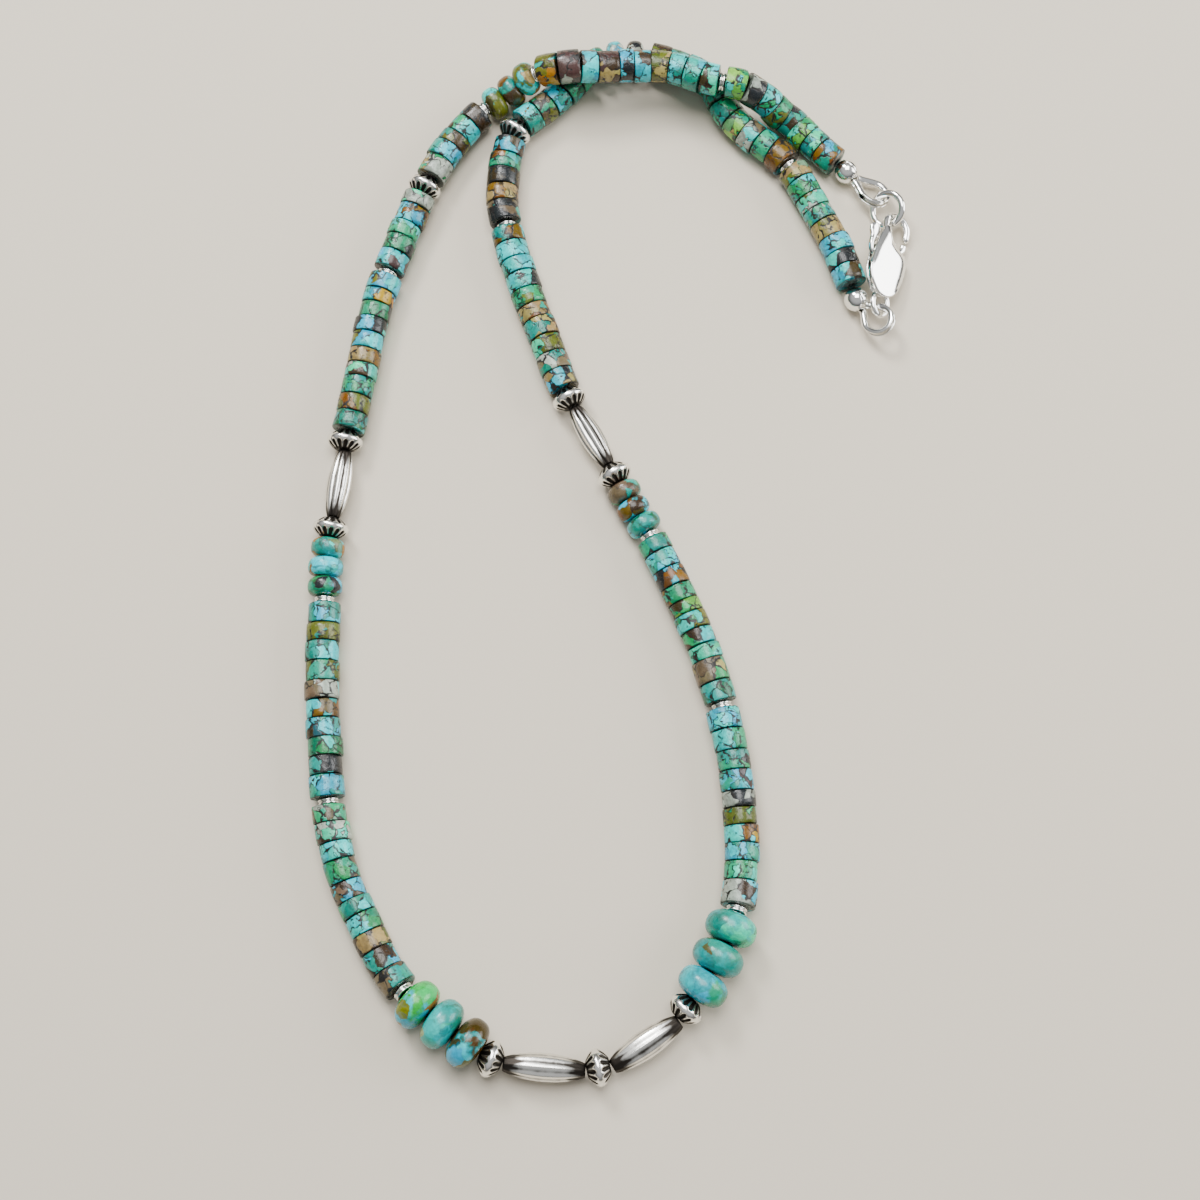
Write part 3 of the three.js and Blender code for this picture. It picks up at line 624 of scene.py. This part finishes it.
def fluted_surface(half):
    """Two shallow cones with rounded flanks: the radius falls from the crest to the collar
    as one less a power of the distance. Flutes cut in from the collar to the crest band as
    a sharpened cosine round the bead, leaving thin ridges, and end in a scallop each."""
    t = np.linspace(-1, 1, 41)[:, None]
    y = half * np.sign(t) * np.abs(t) ** 1.1
    fall = np.abs(y) / half
    swell = np.clip(1 - fall**1.9, 0, 1) ** 0.9
    radius = FLUTED_COLLAR + (FLUTED_RADIUS - FLUTED_COLLAR) * swell
    angle = full_turn(FLUTES * 12)
    ridge = np.abs(np.cos(FLUTES * angle / 2))
    scallop = 0.2 + 0.2 * ridge**3
    inside = np.clip((fall - scallop) / 0.1, 0, 1)
    run_out = np.clip((1.05 - fall) / 0.3, 0, 1)
    cut = FLUTE_DEPTH * (1 - ridge**1.6) * inside * run_out
    step = CREST_STEP * inside * np.clip((1.0 - fall) / 0.5, 0, 1)
    shadow = inside * (0.4 + 0.5 * (1 - ridge**5))
    shadow = np.maximum(shadow, np.clip((fall - 0.75) / 0.2, 0, 1))
    return bored(radius - cut - step, y, shadow, angle)


fluted_places = [("centre_fluted_bead", 1, -FLUTED_LENGTH / 2, FLUTED_LENGTH, 1)]
for cad, side, start, length, _ in fluted_places + strung("fluted"):
    surface = fluted_surface(length / 2 - BEAD_GAP)
    piece = silver_bead(cad + "_silver", side, start, length, surface, oxidised_silver)
    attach(piece, "necklace")
    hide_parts(cad)

# ------------------------------
# Long beads: hollow silver barrels formed from sheet, with broad lengthwise flutes that
# close to a plain collar at each end. Grime darkens their flutes, painted shade darkens
# their ends and bands round their sides, and the bellies are rubbed to a soft shine.

# The front pair is smoother and darker all over than the side pair: radius, flute depth, darkness.
LONG_SHAPES = {"long_front": (1.62, 0.035, 0.3), "long_side": (1.5, 0.11, 0.16)}
LONG_FLUTES = 9
LONG_GAP = 0.05
LONG_COLLAR = 0.47
long_silver = silver("sterling silver, satin finish", "#f0eee8", "#34302c",
                     rough=0.24, line_mm=0.55, line_depth_mm=0.03, grime=0.45)


def long_surface(half, radius, depth, overall_darkness):
    """A barrel whose radius swells as a power of a cosine from the collars. It is flattened
    into facets, the radius over the cosine of the angle from each facet's middle, less
    flutes along their edges that are a sharpened sine round the bead."""
    t = np.linspace(-1, 1, 61)[:, None]
    swell = np.cos(t * math.pi / 2) ** 0.72
    r = radius * (LONG_COLLAR + (1 - LONG_COLLAR) * swell)
    angle = full_turn(LONG_FLUTES * 14)
    groove = np.abs(np.sin(LONG_FLUTES * angle / 2)) ** 5
    cut = depth * groove * (0.35 + 0.65 * swell)
    facet = np.mod(angle * LONG_FLUTES / (2 * math.pi), 1) - 0.5
    flat = np.cos(math.pi / LONG_FLUTES) / np.cos(2 * math.pi * facet / LONG_FLUTES)
    ring = r * (0.35 + 0.65 * flat / flat.max()) - cut
    # Painted shade darkens both ends, where the collars meet the next beads.
    shaded_ends = np.clip((np.abs(t) - 0.45) / 0.55, 0, 1) ** 1.3
    # The whole bead is darkened by its overall darkness, and painted shade adds broad bands round
    # its sides.
    darkness_and_shaded_sides = overall_darkness + 0.12 * np.sin(3 * angle + 0.6)
    dirt = groove * (depth / 0.11) ** 0.5 * 0.5
    shadow = np.clip(darkness_and_shaded_sides + dirt + shaded_ends * 0.75, 0, 1)
    return bored(ring, t * half, shadow, angle)


for kind, shape in LONG_SHAPES.items():
    for cad, side, start, length, _ in strung(kind):
        surface = long_surface(length / 2 - LONG_GAP, *shape)
        piece = silver_bead(cad + "_barrel", side, start, length, surface, long_silver)
        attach(piece, "necklace")
        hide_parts(cad)

# ------------------------------
# Spacers: small double rings of silver wire soldered side by side, set between the rows.
# Their rims are polished bright, and painted shade darkens the groove between them and their inner
# edges.

SPACER_RADIUS = 1.2
SPACER_WIRE = 0.3
polished_silver = silver("sterling silver, mirror polished", "#f7f6f2", "#3a3733",
                         rough=0.1, line_mm=0.65, line_depth_mm=0.004, grime=0.0)

for cad, side, start, length, _ in strung("spacer"):
    t, angle = np.linspace(-1, 1, 25)[:, None], full_turn(40)
    # The outline of the two wires, each half a circle, level all round the thread.
    wires = np.sqrt(np.clip(1 - (2 * np.abs(t) - 1) ** 2, 0, 1)) + 0 * angle
    ring = SPACER_RADIUS - SPACER_WIRE + SPACER_WIRE * wires
    # Painted shade darkens the groove between the wires and their edges down to the hole.
    surface = bored(ring, t * (length / 2 - BEAD_GAP), np.clip(0.9 - wires * 1.6, 0, 1), angle)
    piece = silver_bead(cad + "_rings", side, start, length, surface, polished_silver)
    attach(piece, "necklace")
    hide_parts(cad)

# ------------------------------
# Crimp covers: split silver balls, each squeezed shut over the crimp at an arm's end, so a
# fine seam runs down one side between the two lips.

COVER_RADIUS = 1.54
COVER_MOUTH = 0.26
# The seam's angle round the ball, its half width as an angle, and its depth.
SEAM_AT, SEAM_WIDTH, SEAM_DEPTH = 0.42 * math.pi, 0.035, 0.14
COVER_PLACES = {
    "left_crimp_cover": ([31.4, 56.0, 1.6], -39.0),
    "right_crimp_cover": ([32.05, 38.45, 1.6], -70.0),
}


def laid_down(local, centre, turn):
    """Takes a piece's own points to the part's frame: roll about x, then slope x upwards,
    then heading in plan, in degrees, and then its centre beside the loop's own middle."""
    heading, slope, roll = turn
    h, s, r = (math.radians(v) for v in (heading, -slope, roll))
    about_z = np.array([[math.cos(h), -math.sin(h), 0], [math.sin(h), math.cos(h), 0], [0, 0, 1]])
    about_y = np.array([[math.cos(s), 0, math.sin(s)], [0, 1, 0], [-math.sin(s), 0, math.cos(s)]])
    about_x = np.array([[1, 0, 0], [0, math.cos(r), -math.sin(r)], [0, math.sin(r), math.cos(r)]])
    return local @ (about_z @ about_y @ about_x).T + np.array(centre) + LOOP_SHIFT


for cad, (centre, heading) in COVER_PLACES.items():
    around, rows = 96, 40
    angle = full_turn(around)
    polar = np.linspace(COVER_MOUTH, math.pi - COVER_MOUTH, rows)[:, None]
    seam = np.exp(-(((angle - SEAM_AT) / SEAM_WIDTH) ** 2))
    r = COVER_RADIUS * np.sin(polar) - SEAM_DEPTH * seam * np.sin(polar)
    x = -COVER_RADIUS * np.cos(polar) + 0 * r
    # Painted shade darkens the seam and both mouths of the ball.
    rim, dark = np.full((1, around), 0.25), np.ones((1, around))
    r, x = np.vstack([rim, r, rim]), np.vstack([x[:1], x, x[-1:]])
    shadow = np.vstack([dark, np.broadcast_to(seam, (rows, around)), dark])
    local = np.stack([x, r * np.cos(angle), r * np.sin(angle)], -1)
    points = laid_down(local, centre, (heading, 0, 0))
    piece = new_piece(cad + "_ball", points, closed_rings(1, rows + 2, around), polished_silver,
                      {"shadow": shadow})
    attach(piece, "necklace")
    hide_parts(cad)

# ------------------------------
# Wire guardians: horseshoes of thin silver tube that keep the wire's end loop from wearing
# through. The legs are closed tube, pinched together at the cover, and the arch is an open
# channel round its outer side, in which the beading wire lies.

GUARDIAN_HALF = [
    [1.35, 0.45, 0], [1.85, 0.66, 0], [2.7, 1.2, 0], [3.8, 1.75, 0], [4.9, 1.6, 0],
    [5.75, 0.95, 0],
]
GUARDIAN_REACH = 6.05
GUARDIAN_PLACES = {
    "left_wire_guardian": ([31.55, 55.68, 1.55], (-39.4, 0, -23.9)),
    "right_wire_guardian": ([32.42, 38.5, 0.7], (-55, 23.6, 19.9)),
}
TUBE_OUTER = 0.52
TUBE_INNER = 0.36
# Half the angle at which the tube lies open: a shut slit in the legs, and wider by the
# second round the arch, which is the middle share of the length.
SLIT, ARCH_OPENING, ARCH_SHARE = 0.06, 0.95, 0.62


def carried_along(path, out, sections):
    """Carries a flat outline, given at every station as steps outwards and up, along a
    path: outwards is the given direction made square to the path, up is square to both."""
    tangent = np.gradient(path, axis=0)
    tangent /= np.linalg.norm(tangent, axis=1)[:, None]
    out = out - (out * tangent).sum(1)[:, None] * tangent
    out /= np.linalg.norm(out, axis=1)[:, None]
    up = np.cross(tangent, out)
    return path[:, None] + sections[..., 0:1] * out[:, None] + sections[..., 1:2] * up[:, None]


def capped_tube(rows, around):
    """Quads of a grid closed round each row, with the first and the last row shut by a
    polygon each."""
    v, u = np.meshgrid(np.arange(rows - 1), np.arange(around), indexing="ij")
    u2 = (u + 1) % around
    here, beyond = v * around, (v + 1) * around
    quads = np.stack([here + u, here + u2, beyond + u2, beyond + u], -1)
    first = list(range(around))[::-1]
    last = [(rows - 1) * around + k for k in range(around)]
    return [list(q) for q in quads.reshape(-1, 4)] + [first, last]


for cad, (centre, turn) in GUARDIAN_PLACES.items():
    other = [[x, -y, z] for x, y, z in GUARDIAN_HALF[::-1]]
    path = smooth_course(GUARDIAN_HALF + [[GUARDIAN_REACH, 0, 0]] + other, 12)
    share = np.linspace(-1, 1, len(path))
    arch = np.clip((ARCH_SHARE - np.abs(share)) / 0.1, 0, 1)
    opening = (SLIT + arch * ARCH_OPENING)[:, None]
    outer = opening + np.linspace(0, 1, 15) * (2 * math.pi - 2 * opening)
    section_angle = np.concatenate([outer, outer[:, ::-1]], 1)
    section_radius = np.concatenate([0 * outer + TUBE_OUTER, 0 * outer + TUBE_INNER], 1)
    sections = np.stack([np.cos(section_angle), np.sin(section_angle)], -1)
    sections *= section_radius[..., None]
    out = path - np.array([3.4, 0.0, 0.0])
    local = carried_along(path, out, sections)
    # Painted shade darkens the tube's inner wall, seen inside the open channel.
    inside = np.concatenate([0 * outer, 0 * outer + 0.4], 1)
    points = laid_down(local, centre, turn)
    piece = new_piece(cad + "_channel", points, capped_tube(*sections.shape[:2]), polished_silver,
                      {"shadow": inside})
    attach(piece, "necklace")
    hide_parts(cad)

# ------------------------------
# Jump ring: a ring of round silver wire, sawn through once and closed, that joins the left
# guardian to the clasp's hook.

RING_RADIUS = 2.07
RING_WIRE = 0.44
RING_PLACE = ([36.34, 50.62, 1.86], (24.6, 39.7, 0))
# Where round the ring the saw cut lies, and half the angle that it takes.
CUT_AT, CUT_HALF = 2.2, 0.012
ring_around, wire_around = 120, 24
sweep = np.linspace(CUT_HALF, 2 * math.pi - CUT_HALF, ring_around) + CUT_AT
path = RING_RADIUS * np.stack([np.cos(sweep), np.sin(sweep), 0 * sweep], -1)
wire = full_turn(wire_around)
near_cut = np.minimum(np.arange(ring_around), np.arange(ring_around)[::-1])
wire_radius = RING_WIRE * np.where(near_cut == 0, 0.9, 1.0)
sections = wire_radius[:, None, None] * np.stack([np.cos(wire), np.sin(wire)], -1)[None]
local = carried_along(path, path, sections)
points = laid_down(local, *RING_PLACE)
# Painted shade darkens the wire at both faces of the saw cut.
cut_shade = np.broadcast_to(np.where(near_cut == 0, 0.7, 0.0)[:, None], local.shape[:2])
piece = new_piece("jump_ring_wire", points, capped_tube(ring_around, wire_around), polished_silver,
                  {"shadow": cut_shade})
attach(piece, "necklace")
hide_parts("jump_ring")

# ------------------------------
# Lobster clasp: one silver casting, polished all over. A domed teardrop body tapers to the
# tail eye that holds the right guardian, and a round neck rises into the hook that holds
# the ring. The body is slotted for the lever, which turns on a post across the slot.

CLASP_PLACE = ([35.92, 44.28, 1.93], (-5.4, -33.2, 0))
BODY_OUTLINE = [
    [-0.1, 2.3], [-0.95, 2.3], [-1.7, 1.5], [-2.2, -0.4], [-2.4, -2.0], [-2.3, -3.2],
    [-1.75, -4.5], [-1.2, -5.2], [0.0, -5.5], [0.9, -5.0], [1.75, -3.6], [2.2, -1.6],
    [2.2, -0.3], [1.75, 0.5], [0.9, 0.95], [0.1, 1.35],
]
NECK_CORE = [[-0.15, 2.2], [-0.9, 2.2], [-1.6, 1.5], [-1.8, 0.95], [-0.05, 0.95], [-0.05, 1.5]]
TAIL_CORE = [[-2.3, -2.45], [-2.2, -3.2], [-1.7, -4.4], [-1.15, -5.1], [0.0, -5.4], [0.8, -4.9],
             [1.65, -3.6], [1.95, -2.45]]
FACE_OUTLINE = [
    [-0.45, 3.65], [-0.98, 3.55], [-1.28, 2.9], [-2.0, 1.27], [-2.62, -0.75], [-3.06, -2.6],
    [-2.95, -3.78], [-2.36, -4.95], [-1.6, -5.8], [-0.35, -6.1], [1.05, -5.37], [1.85, -3.9],
    [2.41, -1.95], [2.52, -0.55], [2.15, 0.2], [1.5, 0.68], [0.88, 1.12], [0.38, 1.65],
    [0.08, 2.3], [-0.08, 3.1],
]
FACE_HEIGHT, FACE_DOME = 1.1, 0.16
BACK_HEIGHT, BACK_DOME = 0.95, 0.06
PLATE_RIM = 0.22
SLOT_HALF = 0.55
HOOK_PATH = [
    [-0.6, 1.2, 0.45], [-0.6, 2.2, 0.5], [-0.5, 3.0, 0.4], [-0.45, 4.0, 0.2], [-0.2, 4.9, 0.1],
    [0.45, 5.45, 0.1], [1.3, 5.5, 0.2], [2.15, 5.1, 0.35], [2.68, 4.0, 0.45], [2.64, 2.35, 0.3],
]
HOOK_RADII = [0.6, 0.5, 0.38, 0.38, 0.45, 0.5, 0.5, 0.54, 0.54, 0.5]
EYE_CENTRE = [-0.45, -6.7]
EYE_RADIUS = 1.4
EYE_SHARES = (0.82, 1.1)
EYE_WIRE = 0.36
PIVOT = [0.3, -0.9]


def smooth_outline(points, steps):
    """A closed outline through these points: a centripetal course round them and on past
    the start, cut to one lap."""
    lap = len(points)
    flat = [[x, y, 0] for x, y in points]
    laps = smooth_course(flat[-2:] + flat + flat[:2], steps)
    return laps[2 * steps : (2 + lap) * steps, :2]


def slab(outline, low, high, rim, dome):
    """A plate on an outline: a flat base at low, a wall, a rim rounded by a quarter circle
    that steps in along the outline's normals, and a face that rises from the rim as one
    less the sixth power of the share of the way out, and falls as x squared to its sides."""
    step = np.roll(outline, -1, 0) - np.roll(outline, 1, 0)
    inward = np.stack([step[:, 1], -step[:, 0]], 1) / np.linalg.norm(step, axis=1)[:, None]
    up = math.copysign(1, high - low)
    t = np.linspace(0, math.pi / 2, 8)
    inset = np.concatenate([[rim * 0.15, 0, 0], rim * (1 - np.cos(t))])
    curve = high - up * rim * (1 - np.sin(t))
    level = np.concatenate([[low, low + up * 0.04, (low + high) / 2], curve])
    rows = outline[None] + inset[:, None, None] * inward[None]
    middle = outline.mean(0)
    shrink = np.array([0.95, 0.9, 0.84, 0.76, 0.66, 0.54, 0.42, 0.3, 0.16, 0.02])
    face = middle + shrink[:, None, None] * (rows[-1] - middle)[None]
    base = middle + np.array([0.02, 0.5, 0.97])[:, None, None] * (rows[0] - middle)[None]
    level = np.concatenate([[low] * 3, level])[:, None] + 0 * outline[:, 0]
    crown = (1 - shrink**6)[:, None] * (1 - 0.05 * (face[..., 0] - middle[0]) ** 2)
    flat = np.concatenate([base, rows, face])
    return np.dstack([flat, np.vstack([level, high + up * dome * crown])])


def rounded_bar(points, half_widths, half_depths, squareness, steps, around):
    """A bar along a smooth path in the clasp's plane: its section is a superellipse of the
    given half widths and depths, and it closes to a rounded tip at both ends."""
    path = smooth_course(points, steps)
    share = np.linspace(0, len(points) - 1, len(path))
    wide = np.interp(share, np.arange(len(points)), half_widths)
    tip = np.clip(np.minimum(share, share[::-1]) / 0.35, 0, 1)
    tip = np.sqrt(np.clip(1 - (1 - tip) ** 2, 0.003, 1))
    turn = full_turn(around)
    power = 2 / squareness
    x = np.sign(np.cos(turn)) * np.abs(np.cos(turn)) ** power
    z = np.sign(np.sin(turn)) * np.abs(np.sin(turn)) ** power
    deep = np.interp(share, np.arange(len(points)), half_depths)
    sections = np.stack([(wide * tip)[:, None] * x, (deep * tip)[:, None] * z], -1)
    tangent = np.gradient(path, axis=0)
    return carried_along(path, np.cross(tangent, [0.0, 0.0, 1.0]), sections)


def casting(name, shells):
    """Several closed shells as one polished piece of the clasp. Their faces are turned
    outwards, as the shells that are mirrored come inside out."""
    points, faces, start = [], [], 0
    for shell_points, shell_faces in shells:
        points.append(shell_points.reshape(-1, 3))
        faces += [[int(i) + start for i in face] for face in shell_faces]
        start += len(points[-1])
    piece = new_piece(name, laid_down(np.vstack(points), *CLASP_PLACE), faces, polished_silver,
                      {"shadow": np.zeros(start)})
    mesh = bmesh.new()
    mesh.from_mesh(piece.data)
    bmesh.ops.recalc_face_normals(mesh, faces=mesh.faces)
    mesh.to_mesh(piece.data)
    mesh.free()
    return piece


def turned_on_post(profile, around):
    """A profile of radii and heights, turned about the lever's post."""
    turn = full_turn(around)
    r, z = np.array(profile).T[:, :, None]
    return np.stack([PIVOT[0] + r * np.cos(turn), PIVOT[1] + r * np.sin(turn), z + 0 * turn], -1)


shells = []
for corners, low, high, dome in ((FACE_OUTLINE, SLOT_HALF, FACE_HEIGHT, FACE_DOME),
                                 (BODY_OUTLINE, -SLOT_HALF, -BACK_HEIGHT, BACK_DOME)):
    half = slab(smooth_outline(corners, 7)[::-1], low, high, PLATE_RIM, dome)
    shells.append((half, capped_tube(*half.shape[:2])))
for core in (NECK_CORE, TAIL_CORE):
    corners = np.array(core)[::-1, None]
    share = np.linspace(0, 0.75, 4)[None, :, None]
    dust_and_shade_grids = corners * (1 - share) + np.roll(corners, -1, 0) * share
    fill = slab(dust_and_shade_grids.reshape(-1, 2), -SLOT_HALF - 0.05, SLOT_HALF + 0.05, 0.03, 0)
    shells.append((fill, capped_tube(*fill.shape[:2])))
hook = rounded_bar(HOOK_PATH, HOOK_RADII, HOOK_RADII, 2.0, 14, 28)
shells.append((hook, capped_tube(*hook.shape[:2])))
# The tail eye is an oval: its outward direction swaps the two shares of its radius.
sweep, wire = full_turn(64), full_turn(20)[:, None]
narrow, long = EYE_SHARES
eye_path = np.stack([narrow * np.cos(sweep), long * np.sin(sweep), 0 * sweep], -1) * EYE_RADIUS
eye_out = np.stack([long * np.cos(sweep), narrow * np.sin(sweep), 0 * sweep], -1)
eye_out /= np.linalg.norm(eye_out, axis=1)[:, None]
ring = np.cos(wire) * eye_out[:, None] + np.sin(wire) * np.array([0, 0, 1.0])
eye = eye_path[:, None] + EYE_WIRE * ring + np.array(EYE_CENTRE + [0])
shells.append((eye, closed_rings(1, *eye.shape[:2])))
post = turned_on_post([[0.02, -0.6], [0.5, -0.6], [0.5, 0.6], [0.02, 0.6]], 32)
shells.append((post, capped_tube(4, 32)))
piece = casting("clasp_body_casting", shells)
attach(piece, "necklace")
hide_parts("clasp_body")

# ------------------------------
# Clasp lever: a thin silver V on the post. One branch is the gate that closes up to the
# hook's tip, and the other runs out past the neck to a rounded thumb tab. A spring in the
# body holds it shut.

LEVER_HALF_DEPTH = 0.4
GATE_PATH = [[0.95, -0.85, 0], [1.4, -0.1, 0], [2.05, 0.9, 0], [2.5, 1.5, 0.05], [2.58, 2.2, 0.15]]
GATE_WIDTHS = [0.45, 0.42, 0.42, 0.46, 0.42]
THUMB_PATH = [[-0.4, -0.7, 0], [-1.4, -0.35, 0], [-2.15, 0.0, 0], [-2.45, 0.7, 0],
              [-2.4, 1.3, 0], [-2.2, 1.9, 0], [-2.05, 2.6, 0], [-2.0, 3.3, 0], [-2.0, 3.8, 0]]
THUMB_WIDTHS = [0.55, 0.5, 0.42, 0.33, 0.36, 0.5, 0.8, 0.8, 0.5]
HUB = [[0.62, -0.4], [0.9, -0.4], [0.96, -0.3], [0.96, 0.3], [0.9, 0.4], [0.62, 0.4]]
shells = [(turned_on_post(HUB, 40), closed_rings(1, len(HUB), 40))]
for path, widths in ((GATE_PATH, GATE_WIDTHS), (THUMB_PATH, THUMB_WIDTHS)):
    depths = [LEVER_HALF_DEPTH] * len(path)
    arm = rounded_bar(path, widths, depths, 2.3, 12, 28)
    shells.append((arm, capped_tube(*arm.shape[:2])))
piece = casting("clasp_lever_casting", shells)
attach(piece, "lever")
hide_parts("clasp_lever")

# ------------------------------
# Floor, light and camera.

floor_material = bpy.data.materials.new("pale matt card")
floor_material.use_nodes = True
floor_tree = floor_material.node_tree
floor_shader = floor_tree.nodes["Principled BSDF"]
floor_shader.inputs["Roughness"].default_value = 0.85
floor_shader.inputs["Base Color"].default_value = linear("#cfc5b3")
floor_mesh = bpy.data.meshes.new("floor")
FLOOR = 1.5
floor_mesh.from_pydata(
    [(-FLOOR, -FLOOR, 0), (FLOOR, -FLOOR, 0), (FLOOR, FLOOR, 0), (-FLOOR, FLOOR, 0)],
    [], [(0, 1, 2, 3)])
floor_mesh.materials.append(floor_material)
floor = bpy.data.objects.new("floor", floor_mesh)
bpy.context.scene.collection.objects.link(floor)

# The room is bright overhead and falls to dark at the horizon, as under a white ceiling.
world = bpy.data.worlds.new("soft studio")
world.use_nodes = True
room = world.node_tree
sky = node(room, "TexCoord").outputs["Generated"]
height = node(room, "SeparateXYZ", {}, {0: sky})
dome = node(room, "MapRange",
            {"interpolation_type": "SMOOTHSTEP", 1: 0.1, 2: 0.8, 3: 0.12, 4: 0.6},
            {0: height.outputs[2]})
room.links.new(dome.outputs[0], room.nodes["Background"].inputs["Strength"])
room.nodes["Background"].inputs["Color"].default_value = linear("#f4f6f8")
bpy.context.scene.world = world


def softbox(name, place, aim, size, watts):
    """A square area light at a place, facing a point."""
    data = bpy.data.lights.new(name, "AREA")
    data.shape = "SQUARE"
    data.size = size
    data.energy = watts
    lamp = bpy.data.objects.new(name, data)
    lamp.location = place
    lamp.rotation_euler = (Vector(aim) - Vector(place)).to_track_quat("-Z", "Y").to_euler()
    bpy.context.scene.collection.objects.link(lamp)


softbox("overhead", (0, 0.15, 0.56), (0, 0, 0), 0.34, 3.7)
softbox("key", (-0.2, 0.35, 0.42), (0, 0, 0), 0.15, 3.0)
softbox("window", (0.52, 0.1, 0.24), (0.02, 0, 0), 0.36, 3.2)

# The camera looks down at the loop from the front, 15 degrees off the vertical.
DISTANCE = 0.2416
TILT = math.radians(15)
aim = Vector(LOOP_SHIFT) * 0.001
camera_data = bpy.data.cameras.new("camera")
camera_data.sensor_width = 36
camera_data.lens = 60
camera_data.clip_start = 0.01
camera = bpy.data.objects.new("camera", camera_data)
camera.location = aim + Vector((0, -DISTANCE * math.sin(TILT), DISTANCE * math.cos(TILT)))
camera.rotation_euler = (TILT, 0, 0)
bpy.context.scene.collection.objects.link(camera)
bpy.context.scene.camera = camera
